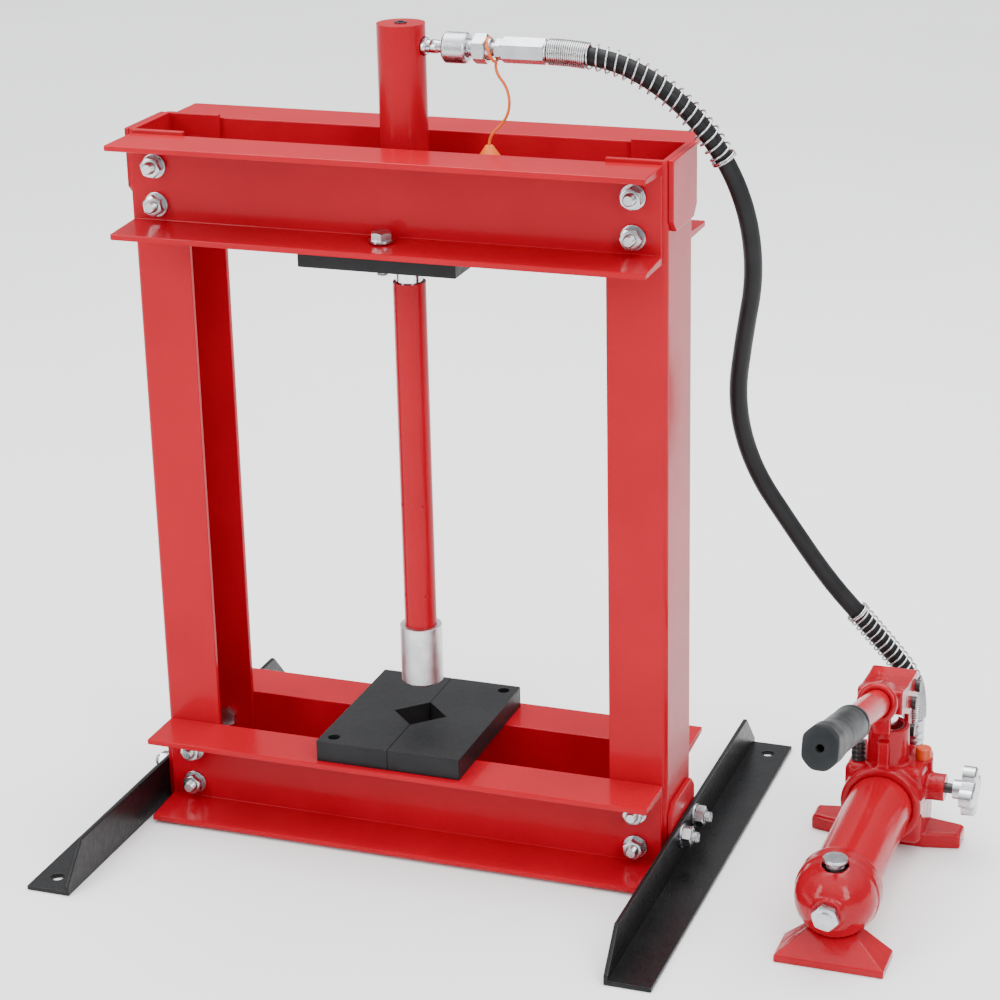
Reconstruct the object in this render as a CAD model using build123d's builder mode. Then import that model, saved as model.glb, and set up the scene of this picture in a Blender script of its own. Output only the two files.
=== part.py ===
from build123d import *
import math
import os

# Bench hydraulic press: a bolted channel frame, a spring-return ram with
# extension tubes, a pair of V-notched press plates, a hand pump and its hose.
# Millimetres, +Z up, front = -Y, origin on the ram axis at floor level.

# ---------------------------------------------------------------- frame
beam_length = 464.0
beam_height = 80.0
beam_flange = 49.0
beam_web = 5.0
flange_tip = 5.0
flange_root = 7.5
root_radius = 3.4
toe_radius = 2.0
beam_gap = 74.0              # between the two beam webs, and the upright's depth
lower_beam_z = 3.0           # underside of the lower beams
daylight = 458.0             # lower beam top to upper beam underside
upright_overhang = 3.0       # past the end of the beams, each side
upright_rise = 3.0           # above the upper beams
upright_flange = 51.0
upright_wall = 5.0
upright_corner = 5.0
end_plate_wall = 4.5
end_plate_height = 59.0
end_plate_corner = 9.0
end_plate_inset = 3.0        # from the upright's front and rear faces
foot_length = 462.0
foot_leg = 40.0
foot_wall = 4.0
foot_taper = 30.0
foot_taper_drop = 32.0
foot_hole_radius = 5.5
foot_hole_inset = 22.0

# ------------------------------------------------------------ fasteners
bolt_radius = 5.0
bolt_hole_radius = 5.5
thread_gap = 0.06
hex_flats = 16.0
bolt_head_height = 6.4
nut_height = 8.0
washer_radius = 10.5
washer_bore_radius = 5.3
washer_wall = 2.0
bolt_overhang = 5.5
frame_bolt_inset = 23.0      # from the beam's end
frame_bolt_low = 21.5        # above the beam's underside
frame_bolt_pitch = 33.0
foot_bolt_spread = 40.0
foot_bolt_z = 29.0

# ------------------------------------------------------- ram and its plate
ram_plate_x = 138.0
ram_plate_wall = 15.0
ram_bolt_from_web = 20.0     # from the beam's back to the bolt's axis
ram_bolt_edge = 15.0         # from the bolt's axis to the ram plate's edge
cylinder_radius = 20.0
cylinder_bore_radius = 15.0
cylinder_rise = 175.0        # above the ram plate
cylinder_crown = 12.0        # closed top
cylinder_edge = 2.0
nose_radius = 17.0
nose_below_plate = 8.0
gland_height = 12.0
rod_radius = 11.5
rod_bore_radius = 7.6
piston_height = 16.0
piston_seal_height = 4.0
seal_depth = 2.6
running_gap = 0.05
anchor_head_radius = 5.0
anchor_shank_radius = 3.5
anchor_head_sink = 4.0
anchor_head_height = 5.0
anchor_socket_flats = 5.0
anchor_socket_depth = 3.5
anchor_reach = 6.0           # below the piston's top
return_spring_radius = 6.5
return_spring_wire = 2.0
spring_end_gap = 0.2
rod_floor = 8.0
tube_radius = 14.0
tube_bore_gap = 0.1
rod_shown = 18.0             # bare rod between the nose and the tubes
tube_short = 84.0
connector_reach = 30.0
rod_in_tube = 30.0
crimp_radius = 2.2
crimp_depth = 0.8
crimp_count = 4
ram_foot_radius = 18.4
ram_foot_height = 54.0
ram_foot_chamfer = 2.0
work_gap = 33.0              # ram foot to press plates, ram drawn back

# ---------------------------------------------------------- press plates
press_plate_x = 66.3         # one plate, along X
press_plate_y = 160.0
press_plate_wall = 19.0
press_split_x = -3.6
notch_half = 24.5
press_hole_radius = 5.0
press_hole_inset = 12.0

# --------------------------------------------- side port, coupler and hose
port_below_top = 18.0
port_seat_depth = 1.5
port_seat_gap = 0.6
port_thread_radius = 5.5
port_flange_radius = 7.4
port_flange_end_x = 23.0
port_shank_radius = 5.6
port_wall_gap = 0.2          # the thread stops short of the bore
nipple_in_collar = 8.0
collar_shank_gap = 0.4
collar_step_gap = 0.5
collar_start_x = 38.0
collar_length = 20.0
collar_radius = 12.7
collar_chamfer = 1.6
coupler_neck_radius = 7.6
coupler_hex_x = 64.0
coupler_hex_length = 11.0
coupler_hex_flats = 21.5
coupler_tail_radius = 5.5
flat_forward = 30.0          # turns a hexagon by half a facet
cap_ring_length = 7.0
cap_ring_radius = 10.6
cap_ring_gap = 0.1
strap_lug = 5.0
strap_lug_height = 3.0
end_nut_length = 6.0
end_nut_flats = 15.0
ferrule_length = 38.0
ferrule_flats = 18.5
hose_radius = 7.6
spring_radius = 10.8
spring_bore_radius = 8.0
strap_radius = 1.2
cap_cone_height = 12.0
cap_skirt_height = 12.0
cap_radius = 11.3
cap_top_radius = 3.0
cap_wall = 1.6
cap_crown = 4.0

# ------------------------------------------------------------------ pump
pump_x = 402.0
pump_z = 50.0
fit_gap = 0.1                # between fixed pump pieces
reservoir_radius = 28.0
reservoir_wall = 2.5
reservoir_rear_y = 54.0
dome_y = -121.0
dome_step = 6.0              # dome over tube, in radius
dome_wall = 4.0
dome_skirt = 22.0
dome_skirt_step = 1.2
dome_skirt_start = 2.0
dome_skirt_chamfer = 5.0
dome_bore_start = 4.0
dome_bore_lip = 1.5
tube_in_cap = 10.0
plug_flats = 20.0
plug_height = 7.0
plug_boss_radius = 13.5
plug_boss_depth = 10.0
plug_boss_rise = 1.0
plug_shank_radius = 5.0
plug_shank_length = 10.0
vent_y = -127.0
vent_pocket_radius = 10.5
vent_pocket_z = 75.0
vent_boss_depth = 6.0
vent_boss_wall = 2.0
vent_boss_rise = 1.0
vent_stem_radius = 7.4
vent_head_radius = 10.2
vent_head_height = 3.6
vent_stem_height = 8.9
vent_head_edge = 0.8
vent_shank_radius = 4.0
vent_shank_length = 8.0
front_foot_middle_x = 404.0
front_foot_x = 90.0
front_foot_y = 38.0
front_foot_front_y = -155.0
front_foot_edge = 6.0
front_foot_top_x = 34.0
front_foot_top_y = 16.0
front_foot_top_z = 26.0
front_foot_top_shift = 4.0
weld_gap = 0.05
head_half_x = 34.0
head_front_y = 54.0
head_rear_y = 110.0
head_low_z = 12.0
head_top_z = 82.0
head_edge = 7.0
head_upright_edge = 5.0
head_collar_step = 7.0       # collar over tube, in radius
head_collar_y = 44.0
head_collar_edge = 3.0
wing_middle_x = 400.0
wing_half_x = 66.0
wing_front_y = 80.0
wing_depth = 30.0
wing_height = 14.0
wing_edge = 3.0
wing_taper = 6.0
wing_slope = 6.0
barrel_x = 402.0
barrel_y = 73.0
barrel_radius = 18.0
barrel_top_z = 116.0
barrel_bore_radius = 12.0
barrel_bore_bottom_z = 60.0
barrel_mouth_depth = 16.0
gland_height_in_barrel = 9.0
stop_rib_x = 10.0
stop_rib_y = 56.0
stop_rib_depth = 14.0
stop_rib_top_z = 108.0
plunger_radius = 8.0
plunger_travel_room = 6.0
plunger_eye_height = 16.0
plunger_eye_depth = 17.0
plunger_eye_low = 8.5        # below the pin's axis
pin_radius = 4.0
pin_head_radius = 5.5
pin_head_height = 4.0
link_pin_y = 89.0            # upper link pin, on the handle axis
link_pin_z = 147.0
plunger_pin_z = 138.0
link_base_y = 98.0
link_base_z = 100.0
link_width = 13.0
link_wall = 4.0
link_inner_x = 10.0          # half the gap between the two links
link_lug_gap = 0.3
link_lug_radius = 7.0
link_lug_depth = 22.0
cheek_inner_x = 14.4
cheek_wall = 5.0
cheek_edge = 3.0
yoke_gap_depth = 56.0
yoke_gap_shift = 10.0        # its middle, ahead of the upper link pin
yoke_gap_low = 32.0          # below the upper link pin
yoke_gap_top = 9.0
pin_end_gap = 0.2
pin_tail_height = 1.5
stop_lug_x = 14.0
stop_lug_y = 45.0
stop_lug_z = 134.0
stop_lug_depth = 9.0
stop_lug_height = 30.0
eye_slack_y = 1.4
eye_slack_z = 0.35
handle_angle = 14.6
handle_drop = 6.6            # handle axis below the upper link pin
handle_radius = 12.0
handle_wall = 2.0
socket_radius = 15.0
socket_ring_radius = 17.5
socket_ring_length = 9.0
socket_ring_edge = 3.5
socket_front = 76.0          # from the upper link pin, along the handle
socket_length = 34.0
socket_floor = 6.0
handle_front = 262.0
grip_front = 291.0
grip_length = 116.0
grip_radius = 15.7
grip_flats = 8
grip_flats_length = 40.0
grip_hole_radius = 3.2
grip_hole_depth = 20.0
valve_y = 80.0
valve_z = 58.0
valve_boss_radius = 12.0
valve_boss_length = 16.0
stem_radius = 4.5
stem_in_boss = 18.0
stem_shown = 7.0
hub_radius = 8.5
hub_length = 8.0
valve_knob_radius = 14.5
valve_lobe_radius = 8.5
valve_lobe_reach = 14.5
valve_knob_length = 12.0
valve_knob_lobes = 4
valve_knob_edge = 1.5
port_boss_x = 413.0
port_boss_y = 130.0
port_boss_radius = 13.0
port_boss_low_z = 34.0
port_boss_top_z = 64.0
lower_shank_length = 10.0
lower_nut_height = 10.0
lower_nut_flats = 17.0
lower_ferrule_radius = 9.2
lower_ferrule_height = 24.0
relief_x = 431.0
relief_y = 84.0
relief_radius = 6.8
relief_height = 10.0
relief_edge = 1.5
relief_boss_radius = 8.6
relief_boss_low_z = 48.0
breather_x = 378.0
breather_y = 64.0
breather_radius = 4.6
breather_rib_radius = 6.0
breather_height = 18.0
breather_ribs = 4
breather_rib_pitch = 4.4
breather_rib_height = 2.0
breather_rib_start = 1.5
root = 4.0                   # how far a boss is sunk in what it stands on

# ------------------------------------------------------ dependent levels
lower_beam_top = lower_beam_z + beam_height
upper_beam_z = lower_beam_top + daylight
frame_top = upper_beam_z + beam_height
upright_top = frame_top + upright_rise
web_face = beam_gap / 2
flange_reach = web_face + beam_flange
ram_bolt_offset = web_face + ram_bolt_from_web
ram_plate_y = 2 * (ram_bolt_offset + ram_bolt_edge)
upright_outer_x = beam_length / 2 + upright_overhang
end_plate_x = upright_outer_x + end_plate_wall
ram_plate_z = upper_beam_z - ram_plate_wall
cylinder_top = upper_beam_z + cylinder_rise
bore_top = cylinder_top - cylinder_crown
nose_bottom = ram_plate_z - nose_below_plate
gland_top = nose_bottom + gland_height
port_z = cylinder_top - port_below_top
port_seat_x = cylinder_radius - port_seat_depth
piston_top = port_z - port_thread_radius - 1.0
piston_bottom = piston_top - piston_height
tube_top_z = nose_bottom - rod_shown
rod_bottom = tube_top_z - rod_in_tube
press_top = lower_beam_top + press_plate_wall
ram_foot_top = press_top + work_gap + ram_foot_height
tube_seam_z = ram_foot_top + tube_short
tube_long = tube_top_z - tube_seam_z
spring_low_z = rod_bottom + rod_floor + spring_end_gap
spring_top_z = piston_top - anchor_reach - spring_end_gap
tube_bore_radius = rod_radius + tube_bore_gap
coupler_end_x = coupler_hex_x + coupler_hex_length
end_nut_x = coupler_end_x + cap_ring_length
ferrule_x = end_nut_x + end_nut_length
hose_start_x = ferrule_x + ferrule_length
lower_ferrule_z = port_boss_top_z + lower_nut_height
hose_end_z = lower_ferrule_z + lower_ferrule_height
dome_radius = reservoir_radius + dome_step
skirt_radius = dome_radius + dome_skirt_step
head_collar_radius = reservoir_radius + head_collar_step
plug_face_y = dome_y - dome_radius - plug_boss_rise
tube_front_y = dome_y + dome_skirt - tube_in_cap
valve_boss_end_x = pump_x + head_half_x + valve_boss_length
lean = math.radians(handle_angle)

os.makedirs("parts", exist_ok=True)


def save(builder, name):
    builder.part.label = name
    export_step(builder.part, f"parts/{name}.step")


def stack(plane, radius, height, mode=Mode.ADD):
    """One round pad, standing on a plane."""
    with BuildSketch(plane) as pad:
        Circle(radius)
    extrude(pad.sketch, amount=height, mode=mode)


def hexagon(plane, flats, height, turn=0.0):
    """One hexagonal pad, standing on a plane."""
    with BuildSketch(plane) as pad:
        RegularPolygon(flats / 2, 6, major_radius=False, rotation=turn)
    extrude(pad.sketch, amount=height)


def facing(x, y, z, direction):
    return Plane(origin=(x, y, z), z_dir=direction)


# ---------------------------------------------------------- frame pieces
def frame_bolt_places(base_z):
    places = []
    for end in (-1, 1):
        for level in (0, 1):
            x = end * (beam_length / 2 - frame_bolt_inset)
            z = base_z + frame_bolt_low + level * frame_bolt_pitch
            places.append((x, z))
    return places


def make_beam(name, side, base_z, plate_bolt):
    outline = [
        (side * web_face, base_z),
        (side * flange_reach, base_z),
        (side * flange_reach, base_z + flange_tip),
        (side * (web_face + beam_web), base_z + flange_root),
        (side * (web_face + beam_web), base_z + beam_height - flange_root),
        (side * flange_reach, base_z + beam_height - flange_tip),
        (side * flange_reach, base_z + beam_height),
        (side * web_face, base_z + beam_height),
    ]
    with BuildPart() as beam:
        with BuildSketch(Plane.YZ.offset(-beam_length / 2)) as section:
            with BuildLine():
                Polyline(*outline, close=True)
            make_face()
            roots = [v for v in section.vertices()
                     if abs(abs(v.Y) - web_face - beam_web) < 0.01]
            fillet(roots, root_radius)
            toes = [v for v in section.vertices()
                    if abs(abs(v.Y) - flange_reach) < 0.01
                    and 1.0 < v.Z - base_z < beam_height - 1.0]
            fillet(toes, toe_radius)
        extrude(amount=beam_length)
        holes = [(x, side * web_face, z) for x, z in frame_bolt_places(base_z)]
        with Locations(*holes):
            Cylinder(bolt_hole_radius, 4 * beam_web, rotation=(90, 0, 0), mode=Mode.SUBTRACT)
        if plate_bolt:
            with Locations((0, side * ram_bolt_offset, base_z)):
                Cylinder(bolt_hole_radius, 4 * flange_root, mode=Mode.SUBTRACT)
    save(beam, name)


def make_upright(name, side):
    web_x = side * upright_outer_x
    middle_x = side * (upright_outer_x - upright_flange / 2)
    height = upright_top - lower_beam_z
    with BuildPart() as upright:
        with BuildSketch(Plane.XY.offset(lower_beam_z)) as section:
            with Locations((middle_x, 0)):
                Rectangle(upright_flange, beam_gap)
            outer = [v for v in section.vertices() if abs(v.X - web_x) < 0.01]
            fillet(outer, upright_corner)
            with Locations((middle_x - side * upright_wall, 0)):
                Rectangle(upright_flange, beam_gap - 2 * upright_wall, mode=Mode.SUBTRACT)
        extrude(amount=height)
        for base_z in (lower_beam_z, upper_beam_z):
            holes = [(x, 0, z) for x, z in frame_bolt_places(base_z) if x * side > 0]
            with Locations(*holes):
                Cylinder(bolt_hole_radius, 2 * beam_gap, rotation=(90, 0, 0), mode=Mode.SUBTRACT)
        with Locations(*[(web_x, e * foot_bolt_spread / 2, foot_bolt_z) for e in (-1, 1)]):
            Cylinder(bolt_hole_radius, 4 * upright_wall, rotation=(0, 90, 0), mode=Mode.SUBTRACT)
    save(upright, name)


def end_plate_solid(side, low_z, drilled):
    """A flat doubler, as deep as the upright, on the outside of its web."""
    width = beam_gap - 2 * end_plate_inset
    middle = low_z + end_plate_height / 2
    with Locations((side * (upright_outer_x + end_plate_wall / 2), 0, middle)):
        Box(end_plate_wall, width, end_plate_height)
    if drilled:
        with Locations(*[(side * upright_outer_x, e * foot_bolt_spread / 2, foot_bolt_z)
                         for e in (-1, 1)]):
            Cylinder(bolt_hole_radius, 4 * end_plate_wall, rotation=(0, 90, 0), mode=Mode.SUBTRACT)


def make_end_plates(name, low_z, drilled, cut_level):
    with BuildPart() as plates:
        for side in (-1, 1):
            end_plate_solid(side, low_z, drilled)
        corners = [e for e in plates.edges().filter_by(Axis.X)
                   if e.geom_type == GeomType.LINE and abs(e.center().Z - cut_level) < 0.01]
        chamfer(corners, end_plate_corner)
    save(plates, name)


def make_foot(name, side):
    inner_x = side * end_plate_x
    profile = [
        (inner_x, 0),
        (inner_x + side * foot_leg, 0),
        (inner_x + side * foot_leg, foot_wall),
        (inner_x + side * foot_wall, foot_wall),
        (inner_x + side * foot_wall, foot_leg),
        (inner_x, foot_leg),
    ]
    half = foot_length / 2
    low = foot_leg - foot_taper_drop
    hole_y = side * (half - foot_hole_inset)
    with BuildPart() as foot:
        with BuildSketch(Plane.XZ.offset(-half)):
            with BuildLine():
                Polyline(*profile, close=True)
            make_face()
        extrude(amount=foot_length)
        for end in (-1, 1):
            with BuildSketch(Plane.YZ.offset(inner_x - side * foot_wall)):
                with BuildLine():
                    Polyline((end * (half + 1), low), (end * half, low),
                             (end * (half - foot_taper), foot_leg),
                             (end * (half - foot_taper), foot_leg + 1),
                             (end * (half + 1), foot_leg + 1), close=True)
                make_face()
            extrude(amount=side * 3 * foot_wall, mode=Mode.SUBTRACT)
        with Locations((inner_x + side * (foot_leg + foot_wall) / 2, hole_y, 0)):
            Cylinder(foot_hole_radius, 4 * foot_wall, mode=Mode.SUBTRACT)
        with Locations(*[(inner_x, e * foot_bolt_spread / 2, foot_bolt_z) for e in (-1, 1)]):
            Cylinder(bolt_hole_radius, 4 * foot_wall, rotation=(0, 90, 0), mode=Mode.SUBTRACT)
    save(foot, name)


# ------------------------------------------------------------- fasteners
frame_grip = upright_wall + beam_web + washer_wall
foot_grip = upright_wall + end_plate_wall + foot_wall + washer_wall


def frame_bolt_seats():
    """Head seats inside the uprights: position and outward direction."""
    seats = []
    for base_z in (lower_beam_z, upper_beam_z):
        for x, z in frame_bolt_places(base_z):
            for side in (-1, 1):
                seats.append(((x, side * (web_face - upright_wall), z), (0, side, 0)))
    return seats


def foot_bolt_seats():
    seats = []
    for side in (-1, 1):
        for e in (-1, 1):
            x = side * (upright_outer_x - upright_wall)
            seats.append(((x, e * foot_bolt_spread / 2, foot_bolt_z), (side, 0, 0)))
    return seats


def ahead(seat, distance):
    (x, y, z), (dx, dy, dz) = seat
    return (x + dx * distance, y + dy * distance, z + dz * distance)


def make_bolts(name, seats, grip):
    with BuildPart() as bolts:
        for seat in seats:
            backwards = tuple(-d for d in seat[1])
            hexagon(Plane(origin=seat[0], z_dir=backwards), hex_flats, bolt_head_height)
            stack(Plane(origin=seat[0], z_dir=seat[1]), bolt_radius,
                  grip + nut_height + bolt_overhang)
    save(bolts, name)


def make_nuts(name):
    with BuildPart() as nuts:
        for seats, grip in ((frame_bolt_seats(), frame_grip), (foot_bolt_seats(), foot_grip)):
            for seat in seats:
                base = Plane(origin=ahead(seat, grip), z_dir=seat[1])
                hexagon(base, hex_flats, nut_height)
                stack(base, bolt_radius + thread_gap, nut_height, Mode.SUBTRACT)
    save(nuts, name)


ram_bolt_seat_z = upper_beam_z + flange_root


def make_washers(name):
    with BuildPart() as washers:
        for seats, grip in ((frame_bolt_seats(), frame_grip), (foot_bolt_seats(), foot_grip)):
            for seat in seats:
                base = Plane(origin=ahead(seat, grip - washer_wall), z_dir=seat[1])
                stack(base, washer_radius, washer_wall)
                stack(base, washer_bore_radius, washer_wall, Mode.SUBTRACT)
        for side in (-1, 1):
            base = facing(0, side * ram_bolt_offset, ram_bolt_seat_z, (0, 0, 1))
            stack(base, washer_radius, washer_wall)
            stack(base, washer_bore_radius, washer_wall, Mode.SUBTRACT)
    save(washers, name)


def make_ram_plate_bolts(name):
    top = ram_bolt_seat_z + washer_wall
    with BuildPart() as bolts:
        for side in (-1, 1):
            hexagon(facing(0, side * ram_bolt_offset, top, (0, 0, 1)), hex_flats, bolt_head_height)
            stack(facing(0, side * ram_bolt_offset, top, (0, 0, -1)), bolt_radius,
                  top - ram_plate_z + bolt_overhang)
    save(bolts, name)


# ------------------------------------------------------------------- ram
def make_ram_plate(name):
    with BuildPart() as plate:
        with Locations((0, 0, ram_plate_z + ram_plate_wall / 2)):
            Box(ram_plate_x, ram_plate_y, ram_plate_wall)
        with Locations((0, 0, ram_plate_z)):
            Cylinder(nose_radius + thread_gap, 4 * ram_plate_wall, mode=Mode.SUBTRACT)
        with Locations((0, -ram_bolt_offset, ram_plate_z), (0, ram_bolt_offset, ram_plate_z)):
            Cylinder(bolt_radius + thread_gap, 4 * ram_plate_wall, mode=Mode.SUBTRACT)
    save(plate, name)


def make_cylinder(name):
    outline = [
        (0, nose_bottom), (nose_radius, nose_bottom), (nose_radius, upper_beam_z),
        (cylinder_radius, upper_beam_z), (cylinder_radius, cylinder_top), (0, cylinder_top),
    ]
    with BuildPart() as body:
        with BuildSketch(Plane.XZ) as section:
            with BuildLine():
                Polyline(*outline, close=True)
            make_face()
            fillet(section.vertices().group_by(Axis.Z)[-1].sort_by(Axis.X)[-1], cylinder_edge)
        revolve(axis=Axis.Z)
        stack(Plane.XY.offset(gland_top), cylinder_bore_radius, bore_top - gland_top, Mode.SUBTRACT)
        stack(Plane.XY.offset(nose_bottom), rod_radius + running_gap, gland_height, Mode.SUBTRACT)
        stack(Plane.XY.offset(bore_top), anchor_shank_radius + thread_gap, cylinder_crown,
              Mode.SUBTRACT)
        stack(Plane.XY.offset(cylinder_top - anchor_head_sink), anchor_head_radius + thread_gap,
              anchor_head_sink, Mode.SUBTRACT)
        port = facing(port_seat_x, 0, port_z, (1, 0, 0))
        stack(port, port_flange_radius + port_seat_gap, cylinder_radius, Mode.SUBTRACT)
        inward = facing(port_seat_x, 0, port_z, (-1, 0, 0))
        stack(inward, port_thread_radius + thread_gap, cylinder_radius - cylinder_bore_radius,
              Mode.SUBTRACT)
    save(body, name)


def make_anchor_screw(name):
    """Socket screw in the crown; its shank carries the return spring."""
    head_low = cylinder_top - anchor_head_sink
    shank_low = piston_top - anchor_reach
    with BuildPart() as screw:
        stack(Plane.XY.offset(head_low), anchor_head_radius, anchor_head_height)
        stack(Plane.XY.offset(shank_low), anchor_shank_radius, head_low - shank_low)
        with BuildSketch(Plane.XY.offset(head_low + anchor_head_height - anchor_socket_depth)):
            RegularPolygon(anchor_socket_flats / 2, 6, major_radius=False)
        extrude(amount=anchor_socket_depth, mode=Mode.SUBTRACT)
    save(screw, name)


def make_piston(name):
    with BuildPart() as piston:
        stack(Plane.XY.offset(piston_bottom), cylinder_bore_radius - running_gap, piston_height)
        stack(Plane.XY.offset(piston_bottom), rod_bore_radius, piston_height, Mode.SUBTRACT)
        groove = Plane.XY.offset(piston_bottom + (piston_height - piston_seal_height) / 2)
        with BuildSketch(groove):
            Circle(cylinder_bore_radius + 1)
            Circle(cylinder_bore_radius - seal_depth, mode=Mode.SUBTRACT)
        extrude(amount=piston_seal_height, mode=Mode.SUBTRACT)
    save(piston, name)


def make_piston_seal(name):
    with BuildPart() as seal:
        groove = Plane.XY.offset(piston_bottom + (piston_height - piston_seal_height) / 2 + 0.05)
        with BuildSketch(groove):
            Circle(cylinder_bore_radius - running_gap)
            Circle(cylinder_bore_radius - seal_depth + 0.05, mode=Mode.SUBTRACT)
        extrude(amount=piston_seal_height - 0.1)
    save(seal, name)


def make_rod(name):
    with BuildPart() as rod:
        stack(Plane.XY.offset(rod_bottom), rod_radius, piston_bottom - rod_bottom)
        stack(Plane.XY.offset(rod_bottom + rod_floor), rod_bore_radius,
              piston_bottom - rod_bottom - rod_floor, Mode.SUBTRACT)
    save(rod, name)


def make_return_spring(name):
    """Outer shape of the tension spring inside the hollow rod."""
    length = spring_top_z - spring_low_z
    with BuildPart() as spring:
        stack(Plane.XY.offset(spring_low_z), return_spring_radius, length)
        stack(Plane.XY.offset(spring_low_z), return_spring_radius - return_spring_wire, length,
              Mode.SUBTRACT)
    save(spring, name)


def make_tube(name, low_z, length, crimp_z):
    with BuildPart() as tube:
        stack(Plane.XY.offset(low_z), tube_radius, length)
        stack(Plane.XY.offset(low_z), tube_bore_radius, length, Mode.SUBTRACT)
        reach = tube_radius + crimp_radius - crimp_depth
        dents = [(reach * math.cos(a), reach * math.sin(a), crimp_z)
                 for a in (math.tau * (i + 0.5) / crimp_count for i in range(crimp_count))]
        with Locations(*dents):
            Sphere(crimp_radius, mode=Mode.SUBTRACT)
    save(tube, name)


def make_connector(name):
    with BuildPart() as connector:
        stack(Plane.XY.offset(tube_seam_z - connector_reach), rod_radius, 2 * connector_reach)
    save(connector, name)


def make_ram_foot(name):
    low = ram_foot_top - ram_foot_height
    with BuildPart() as foot:
        stack(Plane.XY.offset(low), ram_foot_radius, ram_foot_height)
        chamfer(foot.faces().sort_by(Axis.Z)[0].edges(), ram_foot_chamfer)
        stack(Plane.XY.offset(ram_foot_top), rod_radius, connector_reach)
    save(foot, name)


# ---------------------------------------------------------- press plates
def make_press_plate(name, side):
    """Flat plate with a right-angled notch that meets its twin's."""
    inner = press_split_x
    outer = press_split_x + side * press_plate_x
    middle = (inner + outer) / 2
    with BuildPart() as plate:
        with BuildSketch(Plane.XY.offset(lower_beam_top)):
            with Locations((middle, 0)):
                Rectangle(press_plate_x, press_plate_y)
            with BuildLine():
                Polyline((inner, -notch_half), (inner + side * notch_half, 0),
                         (inner, notch_half), close=True)
            make_face(mode=Mode.SUBTRACT)
            with Locations((outer - side * press_hole_inset,
                            side * (press_plate_y / 2 - press_hole_inset))):
                Circle(press_hole_radius, mode=Mode.SUBTRACT)
        extrude(amount=press_plate_wall)
    save(plate, name)


# ------------------------------------------------------ coupler and hose
def along_x(x):
    return facing(x, 0, port_z, (1, 0, 0))


def make_port_nipple(name):
    with BuildPart() as nipple:
        stack(along_x(cylinder_bore_radius + port_wall_gap), port_thread_radius,
              port_seat_x - cylinder_bore_radius - port_wall_gap)
        stack(along_x(port_seat_x), port_flange_radius, port_flange_end_x - port_seat_x)
        stack(along_x(port_flange_end_x), port_shank_radius,
              collar_start_x - port_flange_end_x + nipple_in_collar)
    save(nipple, name)


def make_collar(name):
    bore = coupler_neck_radius + running_gap
    with BuildPart() as collar:
        stack(along_x(collar_start_x), collar_radius, collar_length)
        rims = collar.faces().filter_by(Axis.X).edges()
        chamfer(rims, collar_chamfer)
        stack(along_x(collar_start_x), port_shank_radius + collar_shank_gap, collar_length,
              Mode.SUBTRACT)
        stack(along_x(collar_start_x + nipple_in_collar + collar_step_gap), bore, collar_length,
              Mode.SUBTRACT)
    save(collar, name)


def make_coupler_body(name):
    with BuildPart() as body:
        neck_start = collar_start_x + nipple_in_collar + collar_step_gap + fit_gap
        stack(along_x(neck_start), coupler_neck_radius, coupler_hex_x - neck_start)
        hexagon(along_x(coupler_hex_x), coupler_hex_flats, coupler_hex_length, flat_forward)
        stack(along_x(coupler_end_x), coupler_tail_radius, cap_ring_length)
    save(body, name)


def make_cap_ring(name):
    with BuildPart() as ring:
        stack(along_x(coupler_end_x), cap_ring_radius, cap_ring_length)
        stack(along_x(coupler_end_x), coupler_tail_radius + cap_ring_gap, cap_ring_length,
              Mode.SUBTRACT)
        with Locations((strap_x, 0, strap_z + strap_lug_height / 2)):
            Box(strap_lug, strap_lug, strap_lug_height)
    save(ring, name)


def make_end_nut(name):
    with BuildPart() as nut:
        hexagon(along_x(end_nut_x), end_nut_flats, end_nut_length, flat_forward)
    save(nut, name)


def make_upper_ferrule(name):
    with BuildPart() as ferrule:
        hexagon(along_x(ferrule_x), ferrule_flats, ferrule_length, flat_forward)
    save(ferrule, name)


strap_x = coupler_end_x + cap_ring_length - 1.0
strap_z = port_z - cap_ring_radius - strap_lug_height / 2 - 0.5
strap_route = [
    (strap_x, 0, strap_z),
    (strap_x, 0, 679.0),
    (90.5, -1, 668.5),
    (93.6, -2, 654.5),
    (89.5, -3, 641.0),
    (76.0, -5.5, 628.5),
    (76.0, -5.5, 621.0),
]

hose_route = [
    (hose_start_x, 0, port_z),
    (170.0, 0, port_z),
    (217.0, 7, 675.0),
    (255.0, 18, 635.0),
    (280.5, 31, 580.0),
    (286.5, 44, 517.0),
    (274.0, 56, 457.0),
    (264.5, 67, 396.0),
    (276.5, 79, 336.0),
    (307.5, 93, 281.0),
    (338.5, 105, 230.0),
    (368.0, 115, 192.5),
    (389.5, 122.5, 164.2),
    (406.0, 128, 141.5),
    (port_boss_x, port_boss_y, 120.0),
    (port_boss_x, port_boss_y, hose_end_z),
]


def corner_radii(route):
    """Largest arc at each corner that leaves a straight piece on every run."""
    radii = []
    for before, corner, after in zip(route, route[1:], route[2:]):
        arriving = Vector(*corner) - Vector(*before)
        leaving = Vector(*after) - Vector(*corner)
        half_turn = math.radians(arriving.get_angle(leaving)) / 2
        shorter = min(arriving.length, leaving.length)
        radii.append(0.45 * shorter / math.tan(half_turn))
    return radii


def sweep_route(route, radii, outer, inner=0.0):
    """A round cord, or a sleeve round one, along runs and tangent arcs."""
    heading = Vector(*route[1]) - Vector(*route[0])
    with BuildLine() as path:
        FilletPolyline(*route, radius=radii)
    with BuildSketch(Plane(origin=route[0], z_dir=heading)) as section:
        Circle(outer)
        if inner > 0:
            Circle(inner, mode=Mode.SUBTRACT)
    sweep(section.sketch, path=path.wires()[0])
    return path.wires()[0].length


def halfway(a, b):
    return tuple((p + q) / 2 for p, q in zip(a, b))


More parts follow.
